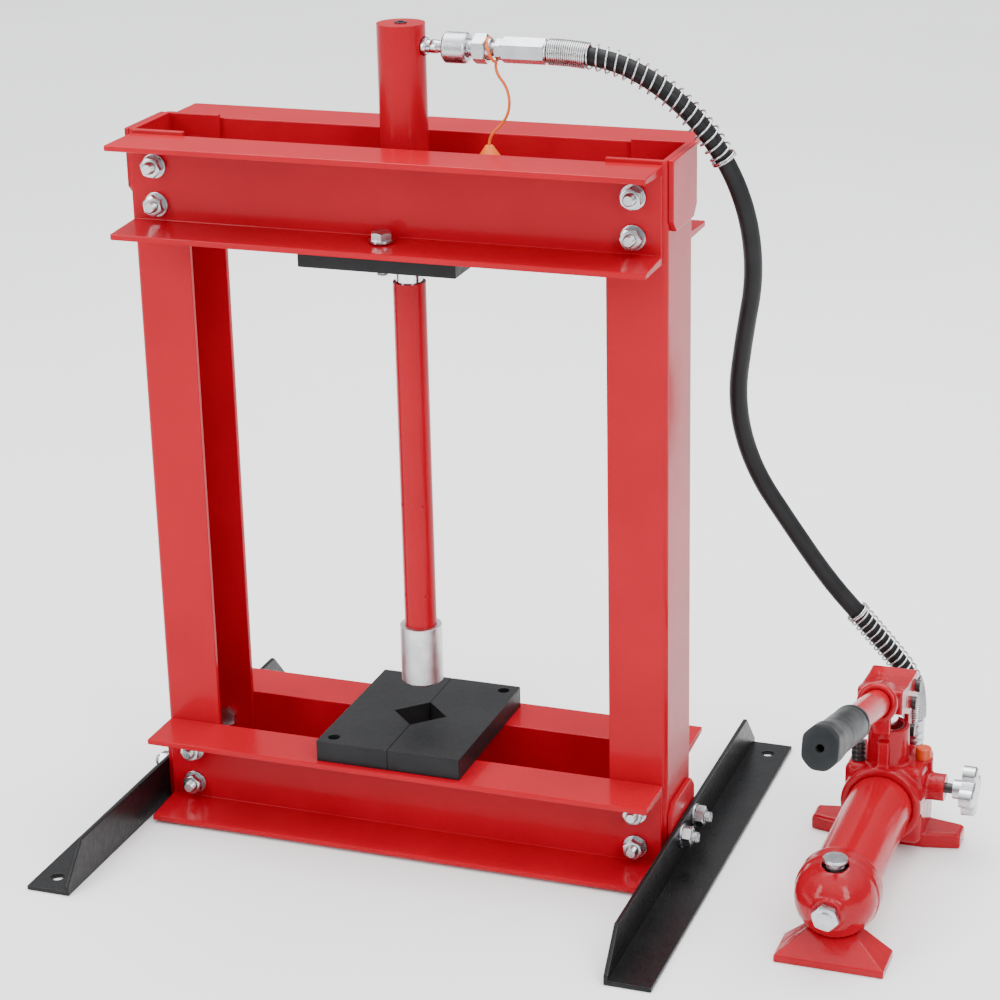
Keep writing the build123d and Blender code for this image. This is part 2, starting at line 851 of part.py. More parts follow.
def make_hose(name):
    radii = corner_radii(hose_route)
    with BuildPart() as hose:
        length = sweep_route(hose_route, radii, hose_radius)
    print("hose radii", [round(r, 1) for r in radii], "length", round(length, 1))
    print("hose volume ratio", hose.part.volume / (math.pi * hose_radius ** 2 * length))
    save(hose, name)


def make_hose_springs():
    radii = corner_radii(hose_route)
    start = hose_route[:4] + [halfway(hose_route[3], hose_route[4])]
    with BuildPart() as upper:
        sweep_route(start, radii[:3], spring_radius, spring_bore_radius)
    save(upper, "hose_spring_upper")
    tail = [halfway(hose_route[-5], hose_route[-4])] + hose_route[-4:]
    with BuildPart() as lower:
        sweep_route(tail, radii[-3:], spring_radius, spring_bore_radius)
    save(lower, "hose_spring_lower")


def make_lower_fitting(name):
    with BuildPart() as fitting:
        hexagon(facing(port_boss_x, port_boss_y, port_boss_top_z, (0, 0, 1)),
                lower_nut_flats, lower_nut_height)
        stack(facing(port_boss_x, port_boss_y, port_boss_top_z, (0, 0, -1)),
              port_thread_radius, lower_shank_length)
        stack(facing(port_boss_x, port_boss_y, lower_ferrule_z, (0, 0, 1)),
              lower_ferrule_radius, lower_ferrule_height)
    save(fitting, name)


def make_strap(name):
    radii = corner_radii(strap_route)
    with BuildPart() as strap:
        length = sweep_route(strap_route, radii, strap_radius)
    print("strap radii", [round(r, 1) for r in radii], "length", round(length, 1))
    print("strap volume ratio", strap.part.volume / (math.pi * strap_radius ** 2 * length))
    save(strap, name)


def make_dust_cap(name):
    x, y, top = strap_route[-1]
    skirt_top = top - cap_cone_height
    skirt_low = skirt_top - cap_skirt_height
    outline = [
        (0, top), (cap_top_radius, top), (cap_radius, skirt_top), (cap_radius, skirt_low),
        (cap_radius - cap_wall, skirt_low), (cap_radius - cap_wall, skirt_top), (0, top - cap_crown),
    ]
    with BuildPart() as cap:
        with BuildSketch(Plane(origin=(x, y, 0), x_dir=(1, 0, 0), z_dir=(0, -1, 0))):
            with BuildLine():
                Polyline(*outline, close=True)
            make_face()
        revolve(axis=Axis((x, y, 0), (0, 0, 1)))
    save(cap, name)


# ------------------------------------------------------------------ pump
def along_y(y, x=pump_x, z=pump_z):
    return Plane(origin=(x, y, z), x_dir=(1, 0, 0), z_dir=(0, 1, 0))


def make_reservoir(name):
    length = reservoir_rear_y - tube_front_y
    with BuildPart() as tube:
        stack(along_y(tube_front_y), reservoir_radius, length)
        stack(along_y(tube_front_y), reservoir_radius - reservoir_wall, length, Mode.SUBTRACT)
    save(tube, name)


def make_front_cap(name):
    """Domed casting with the filler boss in front and the vent's pocket on top."""
    skirt_y = dome_y + dome_skirt_start
    pocket_floor = facing(pump_x, vent_y, vent_pocket_z, (0, 0, 1))
    with BuildPart() as cap:
        with Locations((pump_x, dome_y, pump_z)):
            Sphere(dome_radius)
        stack(along_y(skirt_y), skirt_radius, dome_radius, Mode.SUBTRACT)
        stack(along_y(skirt_y), skirt_radius, dome_skirt - dome_skirt_start)
        rear = cap.faces().sort_by(Axis.Y)[-1]
        chamfer(rear.edges(), dome_skirt_chamfer)
        stack(along_y(plug_face_y), plug_boss_radius, plug_boss_depth)
        with Locations((pump_x, dome_y, pump_z)):
            Sphere(dome_radius - dome_wall, mode=Mode.SUBTRACT)
        stack(along_y(dome_y + dome_bore_start), reservoir_radius - dome_bore_lip, dome_skirt,
              Mode.SUBTRACT)
        stack(along_y(tube_front_y), reservoir_radius + fit_gap, dome_skirt, Mode.SUBTRACT)
        stack(facing(pump_x, vent_y, vent_pocket_z - vent_boss_depth, (0, 0, 1)),
              vent_pocket_radius + vent_boss_wall, vent_boss_depth + vent_boss_rise)
        stack(pocket_floor, vent_pocket_radius, dome_radius, Mode.SUBTRACT)
        stack(facing(pump_x, vent_y, vent_pocket_z, (0, 0, -1)), vent_shank_radius + fit_gap,
              dome_radius / 2, Mode.SUBTRACT)
        stack(along_y(plug_face_y), plug_shank_radius + fit_gap, dome_radius / 2, Mode.SUBTRACT)
    save(cap, name)


def make_filler_plug(name):
    forward = Plane(origin=(pump_x, plug_face_y, pump_z), x_dir=(1, 0, 0), z_dir=(0, -1, 0))
    with BuildPart() as plug:
        hexagon(forward, plug_flats, plug_height)
        stack(along_y(plug_face_y), plug_shank_radius, plug_shank_length)
    save(plug, name)


def make_vent_knob(name):
    stem_z = vent_pocket_z + fit_gap
    with BuildPart() as knob:
        stack(facing(pump_x, vent_y, stem_z, (0, 0, 1)), vent_stem_radius, vent_stem_height)
        stack(facing(pump_x, vent_y, stem_z + vent_stem_height, (0, 0, 1)), vent_head_radius,
              vent_head_height)
        chamfer(knob.faces().sort_by(Axis.Z)[-1].edges(), vent_head_edge)
        stack(facing(pump_x, vent_y, stem_z, (0, 0, -1)), vent_shank_radius, vent_shank_length)
    save(knob, name)


def make_front_foot(name):
    """Folded sole under the dome, falling away to the front and both sides."""
    middle_y = front_foot_front_y + front_foot_y / 2
    with BuildPart() as foot:
        with BuildSketch(Plane.XY):
            with Locations((front_foot_middle_x, middle_y)):
                Rectangle(front_foot_x, front_foot_y)
        extrude(amount=front_foot_edge)
        with BuildSketch(Plane.XY.offset(front_foot_edge)):
            with Locations((front_foot_middle_x, middle_y)):
                Rectangle(front_foot_x, front_foot_y)
        with BuildSketch(Plane.XY.offset(front_foot_top_z)):
            with Locations((pump_x, dome_y - front_foot_top_shift)):
                Rectangle(front_foot_top_x, front_foot_top_y)
        loft()
        with Locations((pump_x, dome_y, pump_z)):
            Sphere(dome_radius + weld_gap, mode=Mode.SUBTRACT)
        stack(along_y(dome_y), skirt_radius + weld_gap, dome_skirt, Mode.SUBTRACT)
    save(foot, name)


def link_plane(x, y, z):
    return Plane(origin=(x, y, z), x_dir=(0, 1, 0), z_dir=(1, 0, 0))


def wing_outline():
    """Half of the casting's sole, from the rear round to the front."""
    rear_y = wing_front_y + wing_depth
    return [
        (head_half_x, rear_y), (wing_half_x, rear_y - wing_taper),
        (wing_half_x, wing_front_y + wing_slope / 4), (head_half_x, wing_front_y - wing_slope),
    ]


def add_head_bosses():
    stack(facing(barrel_x, barrel_y, head_top_z - root, (0, 0, 1)), barrel_radius,
          barrel_top_z - head_top_z + root)
    with Locations((barrel_x, stop_rib_y, (head_top_z + stop_rib_top_z) / 2)):
        Box(stop_rib_x, stop_rib_depth, stop_rib_top_z - head_top_z)
    lug_width = 2 * (link_inner_x - link_lug_gap)
    with Locations((barrel_x, link_base_y - root, (head_top_z + link_base_z) / 2)):
        Box(lug_width, link_lug_depth, link_base_z - head_top_z + fit_gap)
    stack(link_plane(barrel_x - lug_width / 2, link_base_y, link_base_z), link_lug_radius, lug_width)
    stack(facing(pump_x + head_half_x - root, valve_y, valve_z, (1, 0, 0)), valve_boss_radius,
          valve_boss_length + root)
    stack(facing(relief_x, relief_y, relief_boss_low_z, (0, 0, 1)), relief_boss_radius,
          head_top_z - relief_boss_low_z)
    boss_height = port_boss_top_z - port_boss_low_z
    boss_middle = (port_boss_x, (head_rear_y + port_boss_y) / 2, port_boss_low_z + boss_height / 2)
    with Locations(boss_middle):
        Box(2 * port_boss_radius, port_boss_y - head_rear_y + root, boss_height)
    stack(facing(port_boss_x, port_boss_y, port_boss_low_z, (0, 0, 1)), port_boss_radius,
          boss_height)


def cut_head_bores():
    stack(along_y(head_collar_y), reservoir_radius + fit_gap, reservoir_rear_y - head_collar_y,
          Mode.SUBTRACT)
    stack(facing(barrel_x, barrel_y, barrel_bore_bottom_z, (0, 0, 1)),
          plunger_radius + running_gap, barrel_top_z, Mode.SUBTRACT)
    stack(facing(barrel_x, barrel_y, barrel_top_z, (0, 0, -1)), barrel_bore_radius,
          barrel_mouth_depth, Mode.SUBTRACT)
    stack(link_plane(barrel_x - barrel_radius, link_base_y, link_base_z),
          pin_radius + running_gap, 2 * barrel_radius, Mode.SUBTRACT)
    stack(facing(valve_boss_end_x, valve_y, valve_z, (-1, 0, 0)), stem_radius + running_gap,
          stem_in_boss + fit_gap, Mode.SUBTRACT)
    stack(facing(port_boss_x, port_boss_y, port_boss_top_z, (0, 0, -1)),
          port_thread_radius + thread_gap, lower_shank_length + fit_gap, Mode.SUBTRACT)


def make_pump_head(name):
    middle = (pump_x, (head_front_y + head_rear_y) / 2, (head_low_z + head_top_z) / 2)
    right = [(wing_middle_x + x, y) for x, y in wing_outline()]
    left = [(wing_middle_x - x, y) for x, y in reversed(wing_outline())]
    with BuildPart() as sole:
        with BuildSketch(Plane.XY):
            with BuildLine():
                Polyline(*right, *left, close=True)
            make_face()
        extrude(amount=wing_height)
        chamfer(sole.faces().sort_by(Axis.Z)[-1].edges(), wing_edge)
    with BuildPart() as head:
        with Locations(middle):
            Box(2 * head_half_x, head_rear_y - head_front_y, head_top_z - head_low_z)
        fillet(head.edges().filter_by(Axis.Y), head_edge)
        fillet(head.edges().filter_by(Axis.Z), head_upright_edge)
        stack(along_y(head_collar_y), head_collar_radius, head_front_y - head_collar_y + root)
        fillet(head.faces().sort_by(Axis.Y)[0].edges(), head_collar_edge)
        add(sole.part)
        add_head_bosses()
        cut_head_bores()
    save(head, name)


def make_plunger(name):
    low = barrel_bore_bottom_z + plunger_travel_room
    eye_low = plunger_pin_z - plunger_eye_low
    eye_half_y = pin_radius + eye_slack_y
    eye_half_z = pin_radius + eye_slack_z
    with BuildPart() as plunger:
        stack(facing(barrel_x, barrel_y, low, (0, 0, 1)), plunger_radius, eye_low - low)
        with Locations((barrel_x, barrel_y, eye_low + plunger_eye_height / 2)):
            Box(2 * plunger_radius - 1.0, plunger_eye_depth, plunger_eye_height)
        with BuildSketch(link_plane(barrel_x - plunger_radius, barrel_y, plunger_pin_z)):
            RectangleRounded(2 * eye_half_y, 2 * eye_half_z, eye_half_z - fit_gap)
        extrude(amount=2 * plunger_radius, mode=Mode.SUBTRACT)
    save(plunger, name)


def make_plunger_gland(name):
    base = facing(barrel_x, barrel_y, barrel_top_z - barrel_mouth_depth + fit_gap, (0, 0, 1))
    with BuildPart() as gland:
        stack(base, barrel_bore_radius - fit_gap, gland_height_in_barrel)
        stack(base, plunger_radius + running_gap, gland_height_in_barrel, Mode.SUBTRACT)
    save(gland, name)


def handle_point(distance):
    """A point on the handle axis, measured forward from the upper link pin."""
    ahead_y = distance * math.cos(lean)
    rise = distance * math.sin(lean) - handle_drop
    return (barrel_x, link_pin_y - ahead_y, link_pin_z + rise)


def handle_plane(distance):
    return Plane(origin=handle_point(distance), x_dir=(1, 0, 0),
                 z_dir=(0, -math.cos(lean), math.sin(lean)))


cheek_outline = [
    (-60.0, 20.0), (-40.0, 16.0), (-16.0, 14.0), (2.0, 14.0), (9.0, 8.0), (9.0, -6.0),
    (-4.0, -15.0), (-24.0, -17.0), (-42.0, -8.0), (-60.0, -2.0),
]                            # Y and Z from the upper link pin


def make_handle_socket(name):
    width = 2 * (cheek_inner_x + cheek_wall)
    socket_rear = socket_front - socket_length
    with BuildPart() as rim:
        stack(handle_plane(socket_front - socket_ring_length), socket_ring_radius,
              socket_ring_length)
        fillet(rim.edges().filter_by(GeomType.CIRCLE), socket_ring_edge)
    with BuildPart() as socket:
        with BuildSketch(link_plane(barrel_x - width / 2, link_pin_y, link_pin_z)):
            with BuildLine():
                Polyline(*cheek_outline, close=True)
            make_face()
        extrude(amount=width)
        fillet(socket.edges().filter_by(Axis.X), cheek_edge)
        gap_height = yoke_gap_top + yoke_gap_low
        gap_z = link_pin_z + yoke_gap_top - gap_height / 2
        with Locations((barrel_x, link_pin_y - yoke_gap_shift, gap_z)):
            Box(2 * cheek_inner_x, yoke_gap_depth, gap_height, mode=Mode.SUBTRACT)
        stack(handle_plane(socket_rear), socket_radius, socket_length)
        add(rim.part)
        with Locations((barrel_x, stop_lug_y, stop_lug_z)):
            Box(stop_lug_x, stop_lug_depth, stop_lug_height)
        stack(handle_plane(socket_rear + socket_floor), handle_radius + fit_gap, socket_length,
              Mode.SUBTRACT)
        for y, z in ((link_pin_y, link_pin_z), (barrel_y, plunger_pin_z)):
            stack(link_plane(barrel_x - width, y, z), pin_radius + running_gap, 2 * width,
                  Mode.SUBTRACT)
    save(socket, name)


def make_handle_tube(name):
    start = socket_front - socket_length + socket_floor + fit_gap
    with BuildPart() as tube:
        stack(handle_plane(start), handle_radius, handle_front - start)
        stack(handle_plane(start), handle_radius - handle_wall, handle_front - start, Mode.SUBTRACT)
    save(tube, name)


def make_grip(name):
    rear = grip_front - grip_length
    flats_start = grip_front - grip_flats_length
    with BuildPart() as grip:
        with BuildSketch(handle_plane(rear)):
            Circle(grip_radius)
        with BuildSketch(handle_plane(flats_start)):
            RegularPolygon(grip_radius, grip_flats, major_radius=False)
        loft()
        with BuildSketch(handle_plane(flats_start)):
            RegularPolygon(grip_radius, grip_flats, major_radius=False)
        extrude(amount=grip_flats_length)
        stack(handle_plane(rear), handle_radius + fit_gap, handle_front - rear + fit_gap,
              Mode.SUBTRACT)
        stack(handle_plane(grip_front - grip_hole_depth), grip_hole_radius, grip_hole_depth,
              Mode.SUBTRACT)
    save(grip, name)


def make_links(name):
    rise_y = link_pin_y - link_base_y
    rise_z = link_pin_z - link_base_z
    length = math.hypot(rise_y, rise_z)
    tilt = math.degrees(math.atan2(rise_z, rise_y))
    with BuildPart() as links:
        for side in (-1, 1):
            start = barrel_x + side * link_inner_x - (link_wall if side < 0 else 0)
            with BuildSketch(link_plane(start, link_base_y, link_base_z)) as shape:
                with Locations((rise_y / 2, rise_z / 2)):
                    SlotCenterToCenter(length, link_width, rotation=tilt)
                with Locations((0, 0)):
                    Circle(pin_radius + running_gap, mode=Mode.SUBTRACT)
                with Locations((rise_y, rise_z)):
                    Circle(pin_radius + running_gap, mode=Mode.SUBTRACT)
            extrude(amount=link_wall)
    save(links, name)


def add_pin(y, z, half_length):
    stack(link_plane(barrel_x - half_length, y, z), pin_radius, 2 * half_length)
    stack(link_plane(barrel_x + half_length, y, z), pin_head_radius, pin_head_height)
    stack(link_plane(barrel_x - half_length - pin_tail_height, y, z), pin_head_radius,
          pin_tail_height)


def make_pins():
    over_cheeks = cheek_inner_x + cheek_wall + pin_end_gap
    with BuildPart() as pins:
        add_pin(link_pin_y, link_pin_z, over_cheeks)
        add_pin(barrel_y, plunger_pin_z, over_cheeks)
    save(pins, "handle_pins")
    with BuildPart() as base_pin:
        add_pin(link_base_y, link_base_z, link_inner_x + link_wall + pin_end_gap)
    save(base_pin, "link_base_pin")


def make_release_valve():
    with BuildPart() as stem:
        stack(facing(valve_boss_end_x - stem_in_boss, valve_y, valve_z, (1, 0, 0)), stem_radius,
              stem_in_boss + stem_shown)
    save(stem, "release_stem")
    hub_x = valve_boss_end_x + stem_shown
    with BuildPart() as knob:
        stack(facing(hub_x, valve_y, valve_z, (1, 0, 0)), hub_radius, hub_length)
        with BuildSketch(facing(hub_x + hub_length, valve_y, valve_z, (1, 0, 0))):
            Circle(valve_knob_radius)
            with PolarLocations(valve_lobe_reach, valve_knob_lobes):
                Circle(valve_lobe_radius)
        extrude(amount=valve_knob_length)
        chamfer(knob.faces().sort_by(Axis.X)[-1].edges(), valve_knob_edge)
    save(knob, "release_knob")


def make_relief_cap(name):
    with BuildPart() as cap:
        stack(facing(relief_x, relief_y, head_top_z, (0, 0, 1)), relief_radius, relief_height)
        fillet(cap.faces().sort_by(Axis.Z)[-1].edges(), relief_edge)
    save(cap, name)


def make_breather(name):
    with BuildPart() as breather:
        stack(facing(breather_x, breather_y, head_top_z, (0, 0, 1)), breather_radius,
              breather_height)
        for i in range(breather_ribs):
            z = head_top_z + breather_rib_start + breather_rib_pitch * i
            stack(facing(breather_x, breather_y, z, (0, 0, 1)), breather_rib_radius,
                  breather_rib_height)
    save(breather, name)


# ------------------------------------------------------------- make it all
make_beam("upper_beam_front", -1, upper_beam_z, True)
make_beam("upper_beam_rear", 1, upper_beam_z, True)
make_beam("lower_beam_front", -1, lower_beam_z, False)
make_beam("lower_beam_rear", 1, lower_beam_z, False)
make_upright("upright_left", -1)
make_upright("upright_right", 1)
make_end_plates("upper_end_plates", upright_top - end_plate_height, False,
                upright_top - end_plate_height)
make_end_plates("lower_end_plates", lower_beam_z, True, lower_beam_z + end_plate_height)
make_foot("foot_left", -1)
make_foot("foot_right", 1)
make_bolts("frame_bolts", frame_bolt_seats(), frame_grip)
make_bolts("foot_bolts", foot_bolt_seats(), foot_grip)
make_nuts("nuts")
make_washers("washers")
make_ram_plate_bolts("ram_plate_bolts")
make_ram_plate("ram_plate")
make_cylinder("cylinder_body")
make_anchor_screw("spring_anchor_screw")
make_piston("piston")
make_piston_seal("piston_seal")
make_rod("piston_rod")
make_return_spring("return_spring")
make_tube("extension_tube_long", tube_seam_z, tube_long, tube_seam_z + connector_reach)
make_tube("extension_tube_short", ram_foot_top, tube_short, ram_foot_top + connector_reach)
make_connector("tube_connector")
make_ram_foot("ram_foot")
make_press_plate("press_plate_left", -1)
make_press_plate("press_plate_right", 1)
make_port_nipple("port_nipple")
make_collar("coupler_collar")
make_coupler_body("coupler_body")
make_cap_ring("dust_cap_ring")
make_end_nut("hose_end_nut")
make_upper_ferrule("hose_ferrule_upper")
make_hose("hose")
make_hose_springs()
make_lower_fitting("hose_ferrule_lower")
make_strap("dust_cap_strap")
make_dust_cap("dust_cap")
make_reservoir("reservoir_tube")
make_front_cap("pump_front_cap")
make_filler_plug("filler_plug")
make_vent_knob("vent_knob")
make_front_foot("pump_front_foot")
make_pump_head("pump_head")
make_plunger("plunger")
make_plunger_gland("plunger_gland")
make_handle_socket("handle_socket")
make_handle_tube("handle_tube")
make_grip("handle_grip")
make_links("link_arms")
make_pins()
make_release_valve()
make_relief_cap("relief_cap")
make_breather("ribbed_breather")
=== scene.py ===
"""Looks for the hydraulic press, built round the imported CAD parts. Metres throughout."""

import math
import random

import bmesh
import bpy
from mathutils import Matrix, Vector


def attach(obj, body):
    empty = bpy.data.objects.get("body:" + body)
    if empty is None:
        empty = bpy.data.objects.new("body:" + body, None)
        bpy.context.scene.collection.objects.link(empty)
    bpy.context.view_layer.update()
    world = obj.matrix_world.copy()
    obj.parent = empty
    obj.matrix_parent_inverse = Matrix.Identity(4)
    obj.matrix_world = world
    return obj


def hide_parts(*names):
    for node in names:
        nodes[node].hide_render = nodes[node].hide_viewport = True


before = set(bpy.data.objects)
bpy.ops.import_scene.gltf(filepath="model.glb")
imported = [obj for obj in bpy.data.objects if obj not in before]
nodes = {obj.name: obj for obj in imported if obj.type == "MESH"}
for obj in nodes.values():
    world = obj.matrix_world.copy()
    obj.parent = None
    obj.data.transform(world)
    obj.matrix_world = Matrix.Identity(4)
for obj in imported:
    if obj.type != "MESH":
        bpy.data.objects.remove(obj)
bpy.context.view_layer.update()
TAU = math.tau
rng = random.Random(7)


# ---------------------------------------------------------------- camera
CAMERA_PLACE = (0.80957, -1.99256, 1.10145)
CAMERA_YAW = math.radians(20.202)
CAMERA_PITCH = math.radians(-20.384)
CAMERA_ROLL = math.radians(-1.280)
CAMERA_LENS = 95.75
SENSOR_WIDTH = 36.0
FARTHEST_SEEN = 60.0


def make_camera():
    data = bpy.data.cameras.new("camera")
    data.lens = CAMERA_LENS
    data.sensor_width = SENSOR_WIDTH
    data.clip_end = FARTHEST_SEEN
    camera = bpy.data.objects.new("camera", data)
    bpy.context.scene.collection.objects.link(camera)
    flat = math.cos(CAMERA_PITCH)
    ahead = Vector((-math.sin(CAMERA_YAW) * flat, math.cos(CAMERA_YAW) * flat,
                    math.sin(CAMERA_PITCH)))
    right = ahead.cross(Vector((0, 0, 1))).normalized()
    up = right.cross(ahead)
    turned_right = right * math.cos(CAMERA_ROLL) + up * math.sin(CAMERA_ROLL)
    turned_up = up * math.cos(CAMERA_ROLL) - right * math.sin(CAMERA_ROLL)
    axes = Matrix((turned_right, turned_up, -ahead)).transposed().to_4x4()
    camera.matrix_world = Matrix.Translation(CAMERA_PLACE) @ axes
    bpy.context.scene.camera = camera


make_camera()


# ------------------------------------------------------------- materials
class Nodes:
    """A short way to build one material's node tree."""

    def __init__(self, name):
        self.material = bpy.data.materials.new(name)
        self.material.use_nodes = True
        self.tree = self.material.node_tree
        self.shader = self.tree.nodes["Principled BSDF"]
        self.place = self.add("ShaderNodeTexCoord").outputs["Object"]

    def add(self, kind, **values):
        node = self.tree.nodes.new(kind)
        for key, value in values.items():
            setattr(node, key, value)
        return node

    def link(self, source, target):
        self.tree.links.new(source, target)

    def set(self, **values):
        for key, value in values.items():
            self.shader.inputs[key.replace("_", " ")].default_value = value

    def noise(self, scale, detail=3.0, roughness=0.5, place=None):
        node = self.add("ShaderNodeTexNoise")
        node.inputs["Scale"].default_value = scale
        node.inputs["Detail"].default_value = detail
        node.inputs["Roughness"].default_value = roughness
        self.link(place or self.place, node.inputs["Vector"])
        return node.outputs["Fac"]

    def stretched(self, x, y, z):
        node = self.add("ShaderNodeMapping")
        node.inputs["Scale"].default_value = (x, y, z)
        self.link(self.place, node.inputs["Vector"])
        return node.outputs["Vector"]

    def ramp(self, factor, *stops):
        node = self.add("ShaderNodeValToRGB")
        ramp = node.color_ramp
        while len(ramp.elements) < len(stops):
            ramp.elements.new(0.5)
        for element, (position, colour) in zip(ramp.elements, stops):
            element.position = position
            if not hasattr(colour, "__len__"):
                colour = (colour, colour, colour)
            element.color = (*colour, 1.0)
        self.link(factor, node.inputs["Fac"])
        return node.outputs["Color"]

    def bumps(self, *layers):
        """Each layer is (height, distance in metres, strength)."""
        normal = None
        for height, distance, strength in layers:
            node = self.add("ShaderNodeBump")
            node.inputs["Distance"].default_value = distance
            node.inputs["Strength"].default_value = strength
            self.link(height, node.inputs["Height"])
            if normal:
                self.link(normal, node.inputs["Normal"])
            normal = node.outputs["Normal"]
        self.link(normal, self.shader.inputs["Normal"])

    def to(self, socket, source):
        self.link(source, self.shader.inputs[socket])


def enamel(name, dark, light, peel=0.35, roughness=0.16):
    m = Nodes(name)
    m.set(Coat_Weight=0.06, Coat_Roughness=0.04, IOR=1.45, Specular_IOR_Level=0.12)
    m.to("Base Color", m.ramp(m.noise(9.0, 4.0), (0.3, dark), (0.7, light)))
    m.to("Roughness", m.ramp(m.noise(40.0, 3.0), (0.3, roughness), (0.75, roughness + 0.10)))
    m.bumps((m.noise(170.0, 2.0), 0.0006, peel * 0.5), (m.noise(620.0, 2.0), 0.00012, peel))
    return m.material


def cast_enamel(name, dark, light):
    m = Nodes(name)
    m.set(Coat_Weight=0.14, Coat_Roughness=0.04, IOR=1.45, Specular_IOR_Level=0.18)
    m.to("Base Color", m.ramp(m.noise(22.0, 4.0), (0.3, dark), (0.7, light)))
    m.to("Roughness", m.ramp(m.noise(60.0, 3.0), (0.3, 0.10), (0.75, 0.22)))
    m.bumps((m.noise(95.0, 3.0), 0.0020, 0.42), (m.noise(420.0, 3.0), 0.0004, 0.22))
    return m.material


def zinc(name, roughness=0.24, grain=(900.0, 900.0, 900.0), tint=(0.60, 0.615, 0.64)):
    m = Nodes(name)
    m.set(Metallic=1.0)
    dull = tuple(c * 0.72 for c in tint)
    m.to("Base Color", m.ramp(m.noise(70.0, 5.0), (0.25, dull), (0.75, tint)))
    m.to("Roughness", m.ramp(m.noise(120.0, 4.0), (0.25, roughness - 0.06),
                             (0.8, roughness + 0.14)))
    m.bumps((m.noise(1.0, 2.0, 0.5, m.stretched(*grain)), 0.00005, 0.35))
    return m.material


RED_DARK, RED_LIGHT = (0.335, 0.0015, 0.0095), (0.405, 0.0021, 0.0125)
red = enamel("red_enamel", RED_DARK, RED_LIGHT)
red_cast = cast_enamel("red_cast_enamel", (0.275, 0.0013, 0.0080), (0.355, 0.0019, 0.0110))


def make_black_paint():
    m = Nodes("black_textured_paint")
    m.set(Coat_Weight=0.06, Coat_Roughness=0.22, IOR=1.45, Specular_IOR_Level=0.22)
    m.to("Base Color", m.ramp(m.noise(30.0, 4.0), (0.3, (0.0035, 0.0035, 0.004)),
                              (0.75, (0.007, 0.007, 0.0075))))
    m.to("Roughness", m.ramp(m.noise(160.0, 3.0), (0.3, 0.26), (0.7, 0.42)))
    m.bumps((m.noise(520.0, 3.0, 0.6), 0.0005, 0.55), (m.noise(90.0, 2.0), 0.0006, 0.2))
    return m.material


def make_plate_black():
    m = Nodes("plate_black_oxide")
    m.set(IOR=1.45, Specular_IOR_Level=0.20)
    m.to("Base Color", m.ramp(m.noise(26.0, 5.0, 0.6), (0.25, (0.008, 0.0082, 0.009)),
                              (0.8, (0.015, 0.0152, 0.0165))))
    brushed = m.noise(210.0, 4.0, 0.6)
    m.to("Roughness", m.ramp(brushed, (0.3, 0.34), (0.75, 0.52)))
    m.bumps((brushed, 0.00025, 0.3), (m.noise(900.0, 3.0), 0.0001, 0.3))
    return m.material


def make_hose_rubber():
    m = Nodes("hose_rubber")
    m.set(IOR=1.45, Specular_IOR_Level=0.22)
    m.to("Base Color", m.ramp(m.noise(45.0, 3.0), (0.3, (0.0075, 0.0075, 0.008)),
                              (0.7, (0.014, 0.0145, 0.0155))))
    m.to("Roughness", m.ramp(m.noise(90.0, 3.0), (0.3, 0.40), (0.7, 0.55)))
    m.bumps((m.noise(700.0, 2.0), 0.0002, 0.4), (m.noise(110.0, 2.0), 0.0006, 0.12))
    return m.material


def make_grip_rubber():
    m = Nodes("grip_rubber")
    m.set(IOR=1.45, Specular_IOR_Level=0.24)
    m.to("Base Color", m.ramp(m.noise(35.0, 4.0), (0.3, (0.0075, 0.0085, 0.0095)),
                              (0.7, (0.014, 0.0155, 0.017))))
    m.to("Roughness", m.ramp(m.noise(80.0, 3.0), (0.3, 0.36), (0.7, 0.50)))
    m.bumps((m.noise(480.0, 3.0), 0.0002, 0.35))
    return m.material


def make_orange(name, dark, light):
    m = Nodes(name)
    m.set(IOR=1.46, Subsurface_Weight=0.18, Subsurface_Scale=0.002)
    m.to("Base Color", m.ramp(m.noise(60.0, 3.0), (0.3, dark), (0.7, light)))
    m.to("Roughness", m.ramp(m.noise(150.0, 3.0), (0.3, 0.32), (0.7, 0.46)))
    m.bumps((m.noise(350.0, 3.0), 0.0003, 0.25))
    return m.material


def make_black_plastic():
    m = Nodes("black_fitting")
    m.set(IOR=1.5, Coat_Weight=0.2, Coat_Roughness=0.2)
    m.to("Base Color", m.ramp(m.noise(80.0, 3.0), (0.3, (0.008, 0.008, 0.0085)),
                              (0.7, (0.016, 0.016, 0.017))))
    m.to("Roughness", m.ramp(m.noise(160.0, 3.0), (0.3, 0.28), (0.7, 0.42)))
    m.bumps((m.noise(500.0, 3.0), 0.0002, 0.3))
    return m.material


black_paint = make_black_paint()
plate_black = make_plate_black()
hose_rubber = make_hose_rubber()
grip_rubber = make_grip_rubber()
orange = make_orange("orange_plastic", (0.66, 0.105, 0.004), (0.78, 0.15, 0.007))
orange_red = make_orange("orange_red_plastic", (0.46, 0.038, 0.003), (0.56, 0.06, 0.005))
black_fitting = make_black_plastic()
zinc_bright = zinc("zinc_plate")
zinc_dull = zinc("zinc_plate_dull", 0.30, (1200.0, 1200.0, 1200.0), (0.62, 0.63, 0.65))
zinc_turned = zinc("turned_zinc", 0.20, (60.0, 2600.0, 2600.0))
zinc_rough = zinc("galvanised_foot", 0.36, (1500.0, 1500.0, 1500.0), (0.70, 0.71, 0.73))
chrome = zinc("chrome_rod", 0.10, (2600.0, 2600.0, 60.0), (0.84, 0.85, 0.87))
alloy = zinc("cast_alloy", 0.22, (700.0, 700.0, 700.0), (0.66, 0.67, 0.69))
spring_steel = zinc("spring_wire", 0.22, (900.0, 900.0, 900.0), (0.60, 0.60, 0.61))


